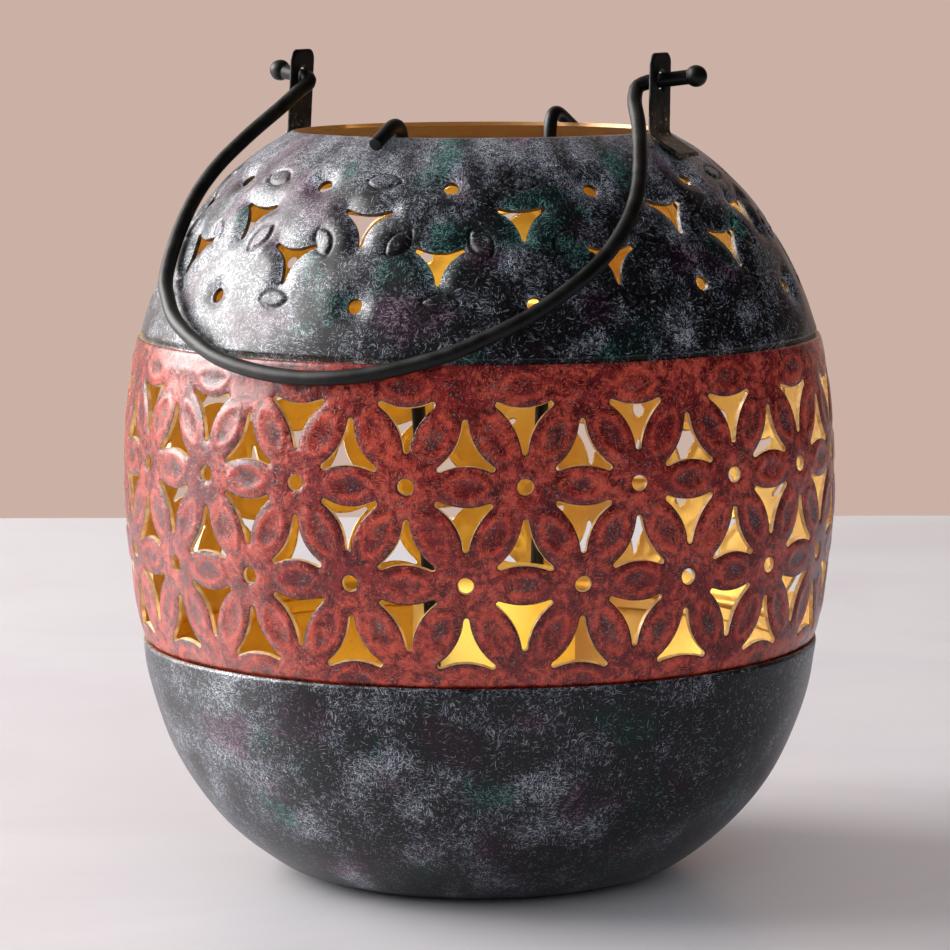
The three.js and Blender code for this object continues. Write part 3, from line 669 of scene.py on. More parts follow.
def make_bowl(looks):
    rng = np.random.default_rng(37)
    z = np.linspace(3.0, BOWL_RIM_HEIGHT - 0.25, 300)
    wall = np.stack([bowl_radius(z), z], 1)
    corner = np.array([float(bowl_radius(0.0)) - 1.2, 0.15])
    heel = bend(np.array([FOOT_RADIUS, 0.0]), corner, wall[0], np.linspace(0, 1, 14)[1:-1])
    foot = [[r, 0.0] for r in (6.0, 18.0, 30.0, FOOT_RADIUS)]
    rim = [[BOWL_RIM_RADIUS - 0.3, BOWL_RIM_HEIGHT]]
    sheet = Sheet(np.concatenate([foot, heel, wall, rim]), BOWL_GRID)
    level = sheet.level
    guard = smooth(level, 1.0, 8) * (1 - smooth(level, 58, 62))
    sheet.height = 0.16 * sheet.waves(rng, 80, 22, 60) * guard - 0.12
    sheet.height[level < 1] = 0
    edge = np.exp(-(BOWL_RIM_HEIGHT - level) / 0.8)
    sheet.tints["relief"] = np.stack([0 * edge, 0 * edge, 0.7 * edge], 1)
    # Painted sheen and shade: the pale-fleck amount has more flecks on the left, the side that faces the
    # key lamp, and fewer on the shaded right. The small spot low at the front is a paler patch.
    sheen_shade_and_pale_spots = [(0.30, -25, 45, 22, 22), (0.25, 30, 34, 12, 7), (-0.2, 70, 40, 25, 30)]
    teal = sheet.tone(rng, 0.42, 0.24, 14, 50, [(0.3, 45, 48, 14, 8)])
    purple = sheet.tone(rng, 0.42, 0.24, 12, 45, [(0.35, -8, 52, 14, 8), (0.3, 38, 20, 14, 9)])
    light = sheet.tone(rng, 0.42, 0.16, 12, 45, sheen_shade_and_pale_spots)
    sheet.tints["cloud"] = np.clip(np.stack([teal, purple, light], 1), 0, 1.2)
    return sheet.build("bowl_sheet", looks, 78.0)


# Wires and turned pieces


def spline(points, step):
    """A smooth line through points, at about even steps."""
    points = np.asarray(points, float)
    full = np.concatenate([[2 * points[0] - points[1]], points, [2 * points[-1] - points[-2]]])
    out = []
    for i in range(1, len(full) - 2):
        p0, p1, p2, p3 = full[i - 1: i + 3]
        count = max(int(np.linalg.norm(p2 - p1) / step), 1)
        for k in range(count):
            t = k / count
            squared = (2 * p0 - 5 * p1 + 4 * p2 - p3) * t * t
            out.append((2 * p1 + (p2 - p0) * t + squared + (-p0 + 3 * p1 - 3 * p2 + p3) * t ** 3) / 2)
    out.append(points[-1])
    return np.array(out)


def round_corners(points, radius, steps=10):
    points = np.array(points, float)
    out = [points[:1]]
    for before, corner, after in zip(points, points[1:], points[2:]):
        back = unit(before - corner)
        ahead = unit(after - corner)
        cut = radius / math.tan(math.acos(np.clip(back @ ahead, -1, 1)) / 2)
        out.append(bend(corner + back * cut, corner, corner + ahead * cut, np.arange(steps + 1) / steps))
    return np.concatenate(out + [points[-1:]])


def sweep(name, line, radius, look, sides=20, end_round=0.5):
    """A round wire along a line, with softened ends."""
    tangent = unit(np.gradient(line, axis=0))
    turn = np.arange(1, 4) / 3 * math.pi / 2
    steps = np.concatenate([[0.02], end_round * (1 - np.cos(turn))])[:, None]
    sizes = radius - end_round * (1 - np.concatenate([[0], np.sin(turn)]))
    ends = (line[0], line[-1])
    inner = line[np.min([np.linalg.norm(line - end, axis=1) for end in ends], 0) > 1.2 * end_round]
    centres = np.concatenate([ends[0] + tangent[0] * steps, inner, ends[1] - tangent[-1] * steps[::-1]])
    radii = np.concatenate([sizes, np.full(len(inner), radius), sizes[::-1]])
    along = np.gradient(centres, axis=0)
    along[:4] = tangent[0]
    along[-4:] = tangent[-1]
    along = unit(along)
    normal = np.cross(along[0], [0.31, 0.77, 0.55])
    ring = np.arange(sides)
    turn = ring[:, None] / sides * FULL_TURN
    rows = []
    for centre, size, ahead in zip(centres, radii, along):
        normal = unit(normal - ahead * (normal @ ahead))
        rows.append(centre + size * (np.cos(turn) * normal + np.sin(turn) * np.cross(ahead, normal)))
    points = np.stack(rows, 1).reshape(-1, 3)
    dots = len(centres)
    first = ring * dots
    after = np.roll(first, -1)
    hub = np.full(sides, len(points))
    front = np.stack([after, first, hub], 1)
    back = np.stack([first + dots - 1, after + dots - 1, hub + 1], 1)
    faces = [grid_faces(sides, dots, True), np.concatenate([front, back])]
    points = np.concatenate([points, centres[:1], centres[-1:]])
    return mesh_object(name, points, faces, [look])


def lathe(name, profile, centre, look, segments=128, wobble=None, axes=np.eye(3)):
    """A profile of radius and height turned about the last axis. wobble gives what to add to both."""
    radius, height = np.asarray(profile, float).T
    turn = np.arange(segments)[:, None] / segments * FULL_TURN
    wider, higher = wobble(turn, radius, height) if wobble else (0, 0)
    radius = radius + wider
    height = height + higher
    flat = np.stack(np.broadcast_arrays(radius * np.cos(turn), radius * np.sin(turn), height), -1)
    points = centre + flat.reshape(-1, 3) @ axes
    return mesh_object(name, points, [grid_faces(segments, len(profile), True)], [look])


BAIL_RADIUS = 1.95
BAIL_REST_HEIGHT = 140.5
BAIL_REST_GAP = 0.65
BAIL_REST_RADIUS = float(belly_radius(BAIL_REST_HEIGHT)) + BAND_PROUD + BAIL_REST_GAP + BAIL_RADIUS
DROP = math.atan2(HINGE_HEIGHT - BAIL_REST_HEIGHT, BAIL_REST_RADIUS)
RIGHT_HOLE = 53.05
LEFT_HOLE = 54.09
BALL_RADIUS = 2.86
BALL_FLAT = 2.35
BALL_FLAT_RADIUS = 1.97
# Places on the bail's middle line, across and out from its hinge line, from its right end to its left
BAIL_LINE = [
    (RIGHT_HOLE + 7.4, -1.57), (RIGHT_HOLE + 3.5, -0.74), (RIGHT_HOLE, 0), (RIGHT_HOLE - 3.2, 0.65),
    (47.6, 2.6), (47.75, 5.0), (49.2, 9.5), (53.5, 18.2), (58.7, 31.1), (62.7, 43.7), (64.4, 55.4),
    (63.4, 68.7), (58.9, 80.4), (51.6, 92.1), (43.1, 100.6), (34.1, 107.9), (21.4, 113.9), (10.7, 117.0),
    (-1, 118.05), (-14.1, 116.6), (-26.4, 112.9), (-36.9, 106.9), (-46.4, 99.2), (-52.5, 91.2),
    (-57.2, 82.4), (-61.2, 66.5), (-63.0, 51.5), (-62.2, 38.6), (-58.6, 25.7), (-54, 13.9), (-51.3, 6.3),
    (-50.0, 3.3), (3.0 - LEFT_HOLE, 0.88), (-LEFT_HOLE, 0), (-LEFT_HOLE - 2.9, -0.85),
    (-LEFT_HOLE - 5.7, -1.68),
]


def make_bail(look):
    across, out = np.array(BAIL_LINE, float).T
    line = np.stack([across, -out * math.cos(DROP), HINGE_HEIGHT - out * math.sin(DROP)], 1)
    return sweep("bail_bow", spline(line, 1.0), BAIL_RADIUS - 0.02, look, 24)


def make_ball(name, node, towards, look):
    """A forged ball with a flat at its back, where the wire goes in."""
    low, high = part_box(node)
    axis = unit(np.array(towards, float))
    side = unit(np.cross(axis, [0, 0, 1]))
    polar = math.pi * np.arange(18, -1, -1) / 18
    along, wide = BALL_RADIUS * np.cos(polar), BALL_RADIUS * np.sin(polar)
    back = along < -2.0
    wide = np.where(back, np.maximum(wide, BALL_FLAT_RADIUS), wide)
    along = np.maximum(along, -BALL_FLAT)

    def bump(angle, radius, _):
        return radius * (0.012 * np.cos(3 * angle + 2 * polar) + 0.008 * np.cos(5 * angle - 3 * polar)), 0

    axes = np.array([side, np.cross(axis, side), axis])
    centre = np.array((low + high) / 2) / MM
    return lathe(name, np.stack([wide, along], 1), centre, look, 32, bump, axes)


# Lugs

STRAP_BEND = 2.4
STRAP_THICKNESS = 1.2
STRAP_WIDTH = 12.0
STRAP_GRID = 0.34
STRAP_HOLE = 2.35


def way(angle):
    return np.stack([np.cos(angle), np.sin(angle)], -1)


def make_lug(name, side, setback, lean, foot_length, look):
    """A strap from its round top down to a bend on the crown, and along the crown to its foot."""
    seat = np.array([MOUTH_RADIUS + setback, crown_height(MOUTH_RADIUS + setback)])
    normal = slope_normal(belly_radius, seat[1])
    centre = seat + normal * (STRAP_BEND + STRAP_THICKNESS + SEAT_GAP)
    up_angle = math.pi + lean
    foot_angle = math.pi + math.atan2(normal[1], normal[0])
    upright = way(math.pi / 2 + lean)
    top = centre + way(up_angle) * STRAP_BEND
    fall = np.linspace((LUG_TOP - top[1]) / upright[1], 0, 120)[:-1]
    turn = np.linspace(up_angle, foot_angle, 24)
    end = centre + way(foot_angle) * STRAP_BEND
    reach = np.linspace(0, foot_length, 40)[1:]
    path = np.concatenate([
        top + fall[:, None] * upright,
        centre + way(turn) * STRAP_BEND,
        end + reach[:, None] * way(foot_angle + math.pi / 2),
    ])
    facing = np.concatenate([np.full(len(fall), up_angle), turn, np.full(len(reach), foot_angle)])
    run = length_along(path)
    length = run[-1]
    rows = int(length / STRAP_GRID) + 3
    columns = int(STRAP_WIDTH / STRAP_GRID) + 3
    half = STRAP_WIDTH / 2
    across = np.linspace(-half - 0.01, half + 0.01, columns)
    wide, down = [g.ravel() for g in np.meshgrid(across, np.linspace(0, length, rows), indexing="ij")]

    def plate(corner):
        """Distance from the edge of the flat strap with round corners, above zero inside."""
        x = np.abs(wide) - (half - 0.02 - corner)
        y = np.abs(down - length / 2) - (length / 2 - 0.03 - corner)
        outside = np.hypot(np.clip(x, 0, None), np.clip(y, 0, None))
        return corner - outside - np.minimum(np.maximum(x, y), 0)

    hole = np.hypot(wide, down - (LUG_TOP - HINGE_HEIGHT) / upright[1]) - STRAP_HOLE
    distance = np.minimum(hole, np.where(down > length - 4, plate(0.7), plate(2.9)))
    quads = grid_faces(columns, rows)[:, [0, 3, 2, 1]]
    values = {"wide": wide, "down": down, "distance": distance}
    whole, tris, values = compact(*cut_grid(quads, distance, values))
    wide, down, distance = values.values()
    base = between(down, run, path)
    out = unit(between(down, run, -way(facing)))
    round_off = 0.3 * bell(distance, 0.3)
    dent = 0.03 * np.cos(wide * 1.3 + down * 0.7) + 0.03 * np.cos(down * 1.9 - wide * 0.8)

    def placed(depth):
        flat = base + out * depth[:, None]
        return np.stack([side * flat[:, 0], side * wide, flat[:, 1]], 1)

    front = placed(-round_off - 0.02 + dent * 0.4)
    back = placed(-STRAP_THICKNESS + round_off + 0.02)
    faces, _ = two_sided(whole, tris, len(front))
    return mesh_object(name, np.concatenate([front, back]), faces, [look])


# Hangers, cup, candle and wick

HANGER_RADIUS = 1.85
HOOK_SLOPE = -25 * DEG
HOLDER_SHIFT = 3.5
CUP_RADIUS = 28.0
CUP_FLOOR = 28.0
CANDLE_SHIFT = 2.3
CANDLE_TURN = 17.7 * DEG
CANDLE_FOOT = 29.3
WICK_RADIUS = 0.66
CANDLE_CENTRE = (
    CANDLE_SHIFT * math.cos(CANDLE_TURN),
    HOLDER_SHIFT + CANDLE_SHIFT * math.sin(CANDLE_TURN),
    CANDLE_FOOT,
)


def make_hanger(name, side, look):
    slope = way(HOOK_SLOPE)
    away = np.array([-slope[1], slope[0]])
    over = np.array([MOUTH_RADIUS, MOUTH_HEIGHT]) + away * (HANGER_RADIUS + SEAT_GAP)
    tail = CUP_RADIUS + SEAT_GAP + HANGER_RADIUS + side * HOLDER_SHIFT
    flat = round_corners([over + slope * 8.5, over - slope * 6.9, (tail, 59.0), (tail, 32.0)], 5)
    line = np.stack([np.zeros(len(flat)), side * flat[:, 0], flat[:, 1]], 1)
    line, _ = even_line(line, int(length_along(line)[-1] / 1.2))
    return sweep(name, line, HANGER_RADIUS - 0.02, look, 20, 0.35)


def make_cup(look):
    line = [(0.01, CUP_FLOOR)] + arc(24, 32, 4, -90, 0, 8)
    line += [(CUP_RADIUS, z) for z in (36.0, 40.0, 44.0, 47.0, 49.2)]
    line += arc(27.5, 49.5, 0.5, 0, 180, 6)
    line += [(CUP_RADIUS - SHEET, z) for z in (48.0, 44.0, 38.0, 33.0)]
    line += arc(24, 32, 3, 0, -90, 8) + [(0.01, CUP_FLOOR + SHEET)]
    return lathe("cup_dish", line, (0, HOLDER_SHIFT, 0), look)


def make_candle(look):
    line = [(0.01, 0.0), (19.0, 0.0)] + arc(20.98, 1.0, 0.98, -90, 0, 5)
    line += [(21.96, z) for z in np.linspace(3, 46, 16)] + arc(19.16, 47.1, 2.8, 0, 90, 9)
    line += [(15, 49.75), (10, 49.5), (5, 49.2), (2.2, 48.8), (1.25, 48.0), (1.1, 45.0), (0.01, 44.6)]

    def wobble(angle, radius, z):
        wider = -0.12 + 0.10 * np.cos(3 * angle + z * 0.05) * np.sin(z * 0.09)
        return wider * (radius > 0.5), -0.05 * (z > 47) * (1 + np.cos(2 * angle))

    return lathe("candle_body", line, CANDLE_CENTRE, look, 160, wobble)


def make_wick(look):
    x, y, _ = CANDLE_CENTRE
    steps = [(0, 0, 73.7), (0, 0, 78.0), (0.05, 0, 81.0), (-0.1, 0.05, 84.0), (0.05, -0.05, 88.2)]
    return sweep("wick_thread", spline(np.array([x, y, 0]) + steps, 0.5), WICK_RADIUS, look, 12, 0.3)


# Materials


class Value:
    """An output of a node, for sums, products and mixes."""

    def __init__(self, nodes, socket):
        self.nodes = nodes
        self.socket = socket

    def apply(self, operation, other=0.0, clamp=False):
        settings = {"operation": operation, "use_clamp": clamp}
        return self.nodes.value("Math", 0, {0: self, 1: other}, **settings)

    def __add__(self, other):
        return self.apply("ADD", other)

    def __sub__(self, other):
        return self.apply("SUBTRACT", other)

    def __mul__(self, other):
        return self.apply("MULTIPLY", other)

    def most(self, other):
        return self.apply("MAXIMUM", other)

    def ramp(self, low, high, start=0.0, end=1.0, kind="SMOOTHSTEP"):
        inputs = {0: self, 1: low, 2: high, 3: start, 4: end}
        return self.nodes.value("MapRange", 0, inputs, interpolation_type=kind)

    def line(self, low, high, start, end):
        return self.ramp(low, high, start, end, "LINEAR")

    def toward(self, colour, share):
        return self.nodes.mix(share, self, colour)


class Nodes:
    """Short calls that build the nodes of a material or a world."""

    def __init__(self, owner):
        owner.use_nodes = True
        self.tree = owner.node_tree
        self.tree.nodes.clear()

    def node(self, kind, inputs=None, **settings):
        node = self.tree.nodes.new("ShaderNode" + kind)
        for key, value in settings.items():
            setattr(node, key, value)
        for key, value in (inputs or {}).items():
            self.put(node.inputs[key], value)
        return node

    def value(self, kind, output, inputs=None, **settings):
        return Value(self, self.node(kind, inputs, **settings).outputs[output])

    def put(self, socket, value):
        if isinstance(value, Value):
            self.tree.links.new(value.socket, socket)
        else:
            socket.default_value = value

    def mix(self, share, a, b):
        return self.value("Mix", 2, {0: share, 6: a, 7: b}, data_type="RGBA")


class Look(Nodes):
    """A node material."""

    def __init__(self, name, sheet=False):
        self.material = bpy.data.materials.new(name)
        super().__init__(self.material)
        self.shader = self.node("BsdfPrincipled")
        self.node("OutputMaterial", {0: Value(self, self.shader.outputs[0])})
        # Object coordinates and the sheet's own coordinates, in millimetres
        self.place = self.scaled(self.value("TexCoord", "Object"), 1 / MM)
        self.metric = self.scaled(self.value("UVMap", 0, uv_map="metric"), UV_UNIT) if sheet else None

    def scaled(self, vector, scale):
        return self.value("VectorMath", 0, {0: vector, 3: scale}, operation="SCALE")

    def up(self):
        return self.value("SeparateXYZ", 2, {0: self.place})

    def moved(self, vector, step):
        return self.value("VectorMath", 0, {0: vector, 1: step}, operation="ADD")

    def noise(self, size, detail=2.0, rough=0.5, warp=0.0, seed=0.0, flat=False, output=0):
        """Noise in space or, where flat, over the sheet."""
        moved = self.moved(self.metric if flat else self.place, (seed, seed * 1.7, seed * 0.3))
        inputs = {"Vector": moved, "Scale": 1 / size, "Detail": detail, "Roughness": rough}
        inputs["Distortion"] = warp
        return self.value("TexNoise", output, inputs, noise_dimensions="2D" if flat else "3D")

    def hairs(self, vector, angle, width, length, share, seed):
        """Separate fine strokes in one direction. The share of them that shows may be a value."""
        size = (length * 2.8, width * 2.8, 1)
        where = (seed * 13.1, seed * 7.7, 0)
        inputs = {"Vector": vector, "Location": where, "Rotation": (0, 0, angle), "Scale": size}
        place = self.value("Mapping", 0, inputs, vector_type="TEXTURE")
        cell = self.node("TexVoronoi", {"Vector": place, "Scale": 1.0}, voronoi_dimensions="2D")
        chance, strength, _ = self.split(Value(self, cell.outputs["Color"]))
        shown = (chance.apply("LESS_THAN", share) * strength).apply("POWER", 1.5) * 1.25
        return Value(self, cell.outputs["Distance"]).ramp(0.03, 0.30, 1.0, 0.0) * shown

    def brushed(self, width, length, share, count, seed):
        """Strokes over the sheet in many directions, bent a little by the hand."""
        wander = self.noise(6.0, 2, seed=seed + 40, flat=True, output="Color")
        bent = self.moved(self.metric, self.scaled(wander, 3.0))
        main = self.noise(15.0, 1, seed=seed + 70, flat=True) * 15.0
        total = None
        for k in range(count):
            angle = (k + 0.3 * ((k * 7) % 3)) / count * math.pi
            here = (main - 2 * angle).apply("COSINE").line(-1, 1, 0.25, 1.75) * share
            layer = self.hairs(bent, angle, width, length, here, seed + k)
            total = total.most(layer) if total else layer
        return total

    def bump(self, height, strength, distance):
        """The last call of a look, which gives its material."""
        inputs = {"Height": height, "Strength": strength, "Distance": distance * MM}
        self.set(normal=self.value("Bump", 0, inputs))
        return self.material

    def split(self, colour):
        node = self.node("SeparateColor", {0: colour})
        return [Value(self, node.outputs[k]) for k in range(3)]

    def parts(self, name):
        return self.split(self.value("Attribute", "Color", attribute_name=name))

    def set(self, **values):
        for key, value in values.items():
            self.put(self.shader.inputs[key.replace("_", " ").title().replace("Ior", "IOR")], value)


def rgb(red, green, blue):
    """A linear colour from an sRGB one of 0 to 255."""
    shares = [v / 255 for v in (red, green, blue)]
    return tuple(v / 12.92 if v <= 0.04045 else ((v + 0.055) / 1.055) ** 2.4 for v in shares) + (1.0,)


def patina_look():
    """Near-black patina, dry-brushed with fine pale, teal and purple strokes. The pale strokes are denser
    and brighter on the lit left side, as painted sheen.
    """
    look = Look("patina", True)
    groove, pebble, lip = look.parts("relief")
    teal, purple, light = look.parts("cloud")
    blotch = look.noise(5.0, 4, 0.7, 0.6, seed=3)
    # light is the sheets' pale-fleck amount. On the cap and bowl it carries painted sheen and shade: raised
    # on the lit left side, lowered on the shaded right.
    amount = (light * 0.6 + blotch * 0.32 + lip * 0.3).ramp(0.29, 0.88)
    share = amount.line(0, 1, 0.06, 0.85)
    long = look.brushed(0.13, 1.15, share, 6, 1.0)
    short = look.brushed(0.12, 0.5, share, 5, 31.0)
    dust = look.noise(0.55, 4, 0.8, seed=9, flat=True).ramp(0.51, 0.65) * amount.line(0, 1, 0.10, 0.6)
    flecks = long.most(short).apply("MULTIPLY", 1.3, True).most(dust) * amount.line(0, 1, 0.6, 1.0)
    hue = look.noise(2.2, 2, 0.6, seed=15)
    tone = look.mix(hue.ramp(0.4, 0.62), rgb(140, 146, 166), rgb(196, 200, 212))
    tone = tone.toward(rgb(226, 230, 238), flecks.ramp(0.6, 1.0))
    is_teal = (teal + look.noise(3.2, 3, 0.7, seed=21)).ramp(1.12, 1.5)
    is_purple = (purple + look.noise(3.6, 3, 0.7, seed=27)).ramp(1.12, 1.5)
    tone = tone.toward(rgb(60, 170, 156), is_teal * 0.7)
    tone = tone.toward(rgb(150, 70, 120), is_purple * 0.6)
    ground = look.mix(is_teal * 0.6, rgb(6, 6, 8), rgb(6, 20, 21))
    ground = ground.toward(rgb(20, 8, 18), is_purple * 0.7)
    colour = ground.toward(tone, flecks).toward(rgb(5, 5, 6), groove * 0.9)
    grain = look.noise(0.5, 3, 0.6, seed=5)
    rough = flecks.line(0, 1, 0.28, 0.38) + grain * 0.08
    look.set(base_color=colour, specular_ior_level=0.28, roughness=rough)
    return look.bump(flecks * 0.8 + grain * 0.5, 0.35, 0.08)


def red_look():
    """Deep red patina: maroon and orange-red strokes, with grey-teal along the holes and in the dishes."""
    look = Look("red_patina", True)
    ridge, dish, edge = look.parts("relief")
    cloud, green, halo = look.parts("cloud")
    broad = look.noise(4.5, 5, 0.7, 1.2, seed=2, flat=True)
    mark = look.noise(4.4, 6, 0.70, 0.4, seed=8, flat=True)
    grit = look.noise(0.45, 3, 0.8, seed=18, flat=True)
    patch = look.noise(7.0, 3, 0.6, seed=44, flat=True).ramp(0.36, 0.60, 0.35, 1.0)
    deep = look.noise(11.0, 4, 0.66, 0.8, seed=61, flat=True).ramp(0.45, 0.62)
    # cloud carries random warm patches and the painted highlight along the band's foot.
    warm = (cloud * 0.45 + deep * -0.22 + broad).ramp(0.50, 0.84)
    base = look.mix(mark.ramp(0.30, 0.66), rgb(72, 9, 13), rgb(148, 25, 32))
    base = base.toward(rgb(80, 8, 24), deep * 0.55)
    base = base.toward(rgb(202, 84, 66), warm.ramp(0, 1, 0.1, 0.9) * mark.ramp(0.36, 0.68))
    base = base.toward(rgb(60, 9, 12), halo * patch * mark.ramp(0.62, 0.42, 0.2, 0.75))
    base = base.toward(rgb(214, 76, 54), ridge * patch * mark.ramp(0.30, 0.62, 0.35, 0.8))
    bright = look.brushed(0.16, 1.1, (warm + ridge * 0.6).line(0, 1.2, 0.2, 0.9), 6, 12.0)
    base = base.toward(rgb(230, 104, 76), bright * 0.75)
    share = (dish * 0.6 - warm + halo * 0.5).line(-0.9, 0.7, 0.2, 0.95)
    dark = look.brushed(0.18, 1.1, share, 6, 3.0)
    base = base.toward(rgb(38, 6, 10), dark * 0.9)
    base = base.toward(rgb(50, 8, 12), grit.ramp(0.52, 0.68, 0.0, 0.3))
    base = base.toward(rgb(216, 96, 74), grit.ramp(0.46, 0.32, 0.0, 0.25))
    tint = mark * 1.1 + green * 0.5
    sunk = dish * tint.ramp(0.70, 0.92)
    base = base.toward(rgb(42, 22, 27), sunk * 0.6)
    base = base.toward(rgb(34, 22, 26), (edge * 0.62 + tint * 0.45).ramp(0.74, 0.95) * 0.85)
    teal = look.brushed(0.26, 0.6, (green.most(edge) + sunk).line(0.5, 1.5, 0.03, 0.6), 3, 51.0)
    base = base.toward(rgb(92, 130, 128), teal * 0.85)
    grain = look.noise(0.6, 3, 0.6, seed=5)
    rough = (dark + mark).line(0.3, 1.4, 0.22, 0.32)
    look.set(base_color=base, specular_ior_level=0.42, roughness=rough)
    return look.bump(bright * 0.6 + grain * 0.7 - dark * 0.5, 0.4, 0.10)


def gold_look():
    """Gold paint on the inside, a little uneven, with painted shade: dark brown towards the mouth."""
    look = Look("gold_inside")
    cloud = look.noise(16, 3, 0.55, seed=4)
    fine = look.noise(1.6, 3, 0.6, seed=6)
    colour = look.mix(cloud.ramp(0.35, 0.65), rgb(228, 182, 38), rgb(240, 198, 50))
    colour = colour.toward(rgb(170, 104, 26), fine.ramp(0.6, 0.75) * 0.3)
    # Painted shade: the gold turns dark brown above 180 mm, inside the mouth, where little light reaches.
    colour = colour.toward(rgb(112, 72, 32), look.up().ramp(180.0, 192.0))
    look.set(base_color=colour, metallic=0.7, specular_ior_level=0.6)
    rough = fine.ramp(0.3, 0.7, 0.30, 0.42)
    look.set(roughness=rough, coat_weight=0.8, coat_roughness=0.55, coat_ior=2.0)
    return look.bump(cloud + fine * 0.2, 0.3, 0.4)


def edge_look(name, metal, dull, mouth=None):
    """Cut edge of the sheet: thin, with worn places, and golden at the mouth."""
    look = Look(name)
    worn = look.noise(3.5, 2, 0.6, seed=31)
    colour = look.mix(worn.ramp(0.35, 0.65), dull, metal)
    if mouth:
        colour = colour.toward(mouth, look.up().ramp(195.5, 197.0))
    rough = worn.ramp(0.3, 0.7, 0.5, 0.36)
    look.set(base_color=colour, metallic=0.2, specular_ior_level=0.5, roughness=rough)
    return look.bump(look.noise(0.5, 2, seed=2), 0.4, 0.08)


def iron_look(name, brown=False):
    """Black lacquered iron, faintly rough. The strap is rubbed brown and brazed at its foot."""
    look = Look(name)
    grain = look.noise(0.7, 3, 0.6, seed=1)
    patch = look.noise(6.0, 3, 0.6, seed=2)
    scratch = look.noise(1.3, 2, 0.5, 1.5, seed=11)
    colour = look.mix(patch.ramp(0.4, 0.7), rgb(10, 10, 9), rgb(22, 21, 19))
    colour = colour.toward(rgb(70, 62, 52), scratch.ramp(0.68, 0.76) * 0.4)
    if brown:
        low = look.up().ramp(197.0, 208.0, 1.0, 0.0)
        colour = colour.toward(rgb(74, 60, 46), low * patch.ramp(0.38, 0.62) * 0.8)
        braze = look.noise(1.1, 2, 0.6, seed=7).ramp(0.63, 0.69)
        colour = colour.toward(rgb(196, 158, 100), braze * low)
    rough = patch.ramp(0.3, 0.7, 0.34, 0.46)
    look.set(base_color=colour, specular_ior_level=0.2, roughness=rough)
    return look.bump(grain, 0.25, 0.08)


def wax_look():
    look = Look("wax")
    cloud = look.noise(9, 3, 0.5, seed=1)
    fine = look.noise(1.0, 3, 0.6, seed=3)
    colour = look.mix(cloud.ramp(0.3, 0.7), rgb(255, 216, 92), rgb(255, 224, 110))
    look.set(base_color=colour, roughness=0.45, subsurface_weight=0.3, subsurface_scale=0.006)
    look.set(subsurface_radius=(1.0, 0.6, 0.25))
    return look.bump(cloud + fine * 0.25, 0.15, 0.3)


def wick_look():
    look = Look("wick")
    inputs = {"Vector": look.place, "Scale": 0.9, "Distortion": 2.0, "Detail": 1.0}
    wave = look.value("TexWave", 1, inputs, bands_direction="DIAGONAL")
    look.set(base_color=look.mix(wave, rgb(206, 196, 172), rgb(240, 234, 216)), roughness=0.9)
    return look.bump(wave, 0.6, 0.15)


PATINA = patina_look()
RED = red_look()
GOLD = gold_look()
BAND_EDGE = edge_look("band_edge", rgb(244, 212, 156), rgb(206, 160, 104))
CAP_EDGE = edge_look("cap_edge", rgb(120, 92, 52), rgb(44, 34, 26), rgb(176, 126, 62))
BOWL_EDGE = edge_look("bowl_edge", rgb(226, 190, 136), rgb(132, 102, 66))
IRON = iron_look("black_iron")
STRAP = iron_look("strap_iron", True)

finish_piece(make_bowl([PATINA, GOLD, BOWL_EDGE]), "shell", "bottom_bowl")
finish_piece(make_band([RED, GOLD, BAND_EDGE]), "shell", "pierced_band")
finish_piece(make_cap([PATINA, GOLD, CAP_EDGE]), "shell", "top_cap")
for label, side, setback, lean, foot_length in (("right", 1, 4.6, -1, 8.4), ("left", -1, 6.2, 3.5, 9.9)):
    lug = make_lug("lug_strap_" + label, side, setback, lean * DEG, foot_length, STRAP)
    finish_piece(lug, "shell", "lug_" + label)
finish_piece(make_bail(IRON), "bail", "bail_wire")
for label, side, rise in (("right", 1, 12 * DEG), ("left", -1, 16.4 * DEG)):
    node = "bail_ball_" + label
    out = (side * math.cos(rise), math.cos(DROP) * math.sin(rise), math.sin(DROP) * math.sin(rise))
    finish_piece(make_ball("ball_" + label, node, out, IRON), "bail", node)
for label, side in (("front", -1), ("back", 1)):
    hanger = make_hanger("hanger_" + label, side, IRON)
    finish_piece(hanger, "holder", "hanger_wire_" + label)
finish_piece(make_cup(IRON), "holder", "candle_cup")
finish_piece(make_candle(wax_look()), "candle", "candle")
finish_piece(make_wick(wick_look()), "candle", "candle_wick")


# Floor, background and light

FLOOR_REACH = 3200.0
FLOOR_FRONT = -2400.0
FLOOR_BACK = 705.0
FLOOR_DROP = -0.05


def make_floor():
    look = Look("table")
    cloud = look.noise(160, 4, 0.6, 0.8, seed=2)
    colour = look.mix(cloud.ramp(0.35, 0.7), rgb(226, 223, 226), rgb(218, 214, 218))
    look.set(base_color=colour, roughness=0.35, specular_ior_level=0.3)
    sides = ((-1, FLOOR_FRONT), (1, FLOOR_FRONT), (1, FLOOR_BACK), (-1, FLOOR_BACK))
    corners = [RIGHT * (side * FLOOR_REACH) + FORWARD * along for side, along in sides]
    points = [[c.x, c.y, FLOOR_DROP] for c in corners]
    floor = mesh_object("floor", points, [np.array([[0, 1, 2, 3]])], [look.material])


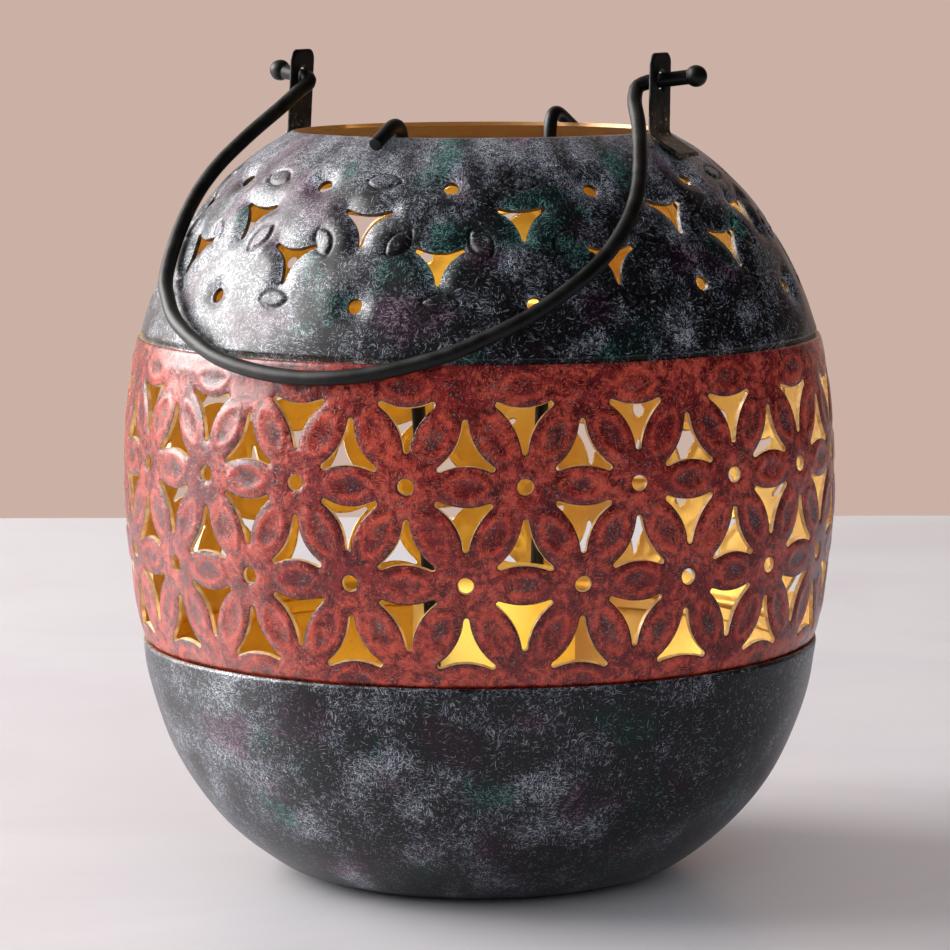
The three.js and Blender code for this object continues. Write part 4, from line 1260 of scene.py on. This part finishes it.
def make_world():
    """A wall that the camera, gloss and glass see in one direction, and plain fill light."""
    world = bpy.data.worlds.new("room")
    bpy.context.scene.world = world
    room = Nodes(world)
    rays = room.node("LightPath")
    kinds = [Value(room, rays.outputs[f"Is {kind} Ray"]) for kind in ("Camera", "Glossy", "Transmission")]
    seen = kinds[0].most(kinds[1]).most(kinds[2])
    inputs = {0: room.value("TexCoord", "Generated"), 1: (FORWARD * 0.8 - RIGHT * 0.6)[:]}
    facing = room.value("VectorMath", "Value", inputs, operation="DOT_PRODUCT")
    level = facing.ramp(0.05, 0.70, 0.03, 1.0)
    wall = room.value("Background", 0, {0: rgb(203, 177, 165), 1: level})
    fill = room.value("Background", 0, {0: (0.93, 0.95, 1.0, 1), 1: 0.42})
    both = room.value("MixShader", 0, {0: seen, 1: fill, 2: wall})
    room.node("OutputWorld", {0: both})


def make_lamp(name, place, size, power, colour, aim=(0, 0, 110), spread=math.pi, glossy=True, diffuse=True):
    """Place and aim are across, along and up, as the camera sees them. Sides are in metres."""
    data = bpy.data.lights.new(name, "AREA")
    data.shape = "RECTANGLE"
    data.size, data.size_y = size
    data.energy = power
    data.color = colour
    data.spread = spread
    lamp = add_object(name, data)
    at, to = ((RIGHT * p[0] + FORWARD * p[1] + UP * p[2]) * MM for p in (place, aim))
    lamp.location = at
    lamp.rotation_euler = (to - at).to_track_quat("-Z", "Y").to_euler()
    lamp.visible_camera = False
    lamp.visible_glossy = glossy
    lamp.visible_diffuse = diffuse


KEY_PLACE = (-1500, 270, 840)
KEY_SIZE = (1.55, 1.2)
SMALL = (0.03, 0.03)
WHITE = (1.0, 0.99, 0.97)

make_floor()
make_world()
make_lamp("key", KEY_PLACE, KEY_SIZE, 48.0, (1.0, 0.985, 0.97))
make_lamp("sheen", KEY_PLACE, KEY_SIZE, 235.0, (1.0, 0.985, 0.98), diffuse=False)
make_lamp("front", (150, -1300, 900), (1.0, 1.0), 2.6, (0.97, 0.98, 1.0), glossy=False)
# Small lamps stand in for the daylight that comes into the lantern from above.
make_lamp("inside_wall", (30, 4, 124), SMALL, 0.044, (0.42, 0.49, 1.0), (90, -10, 96), 2.4)
make_lamp("inside_candle", (-8, -64, 92), SMALL, 0.0054, WHITE, (3, -10, 60), 1.1)
make_lamp("inside_back", (-24, 20, 186), SMALL, 0.011, WHITE, (0, 90, 152), 0.8)

bpy.context.scene.view_settings.view_transform = "Standard"
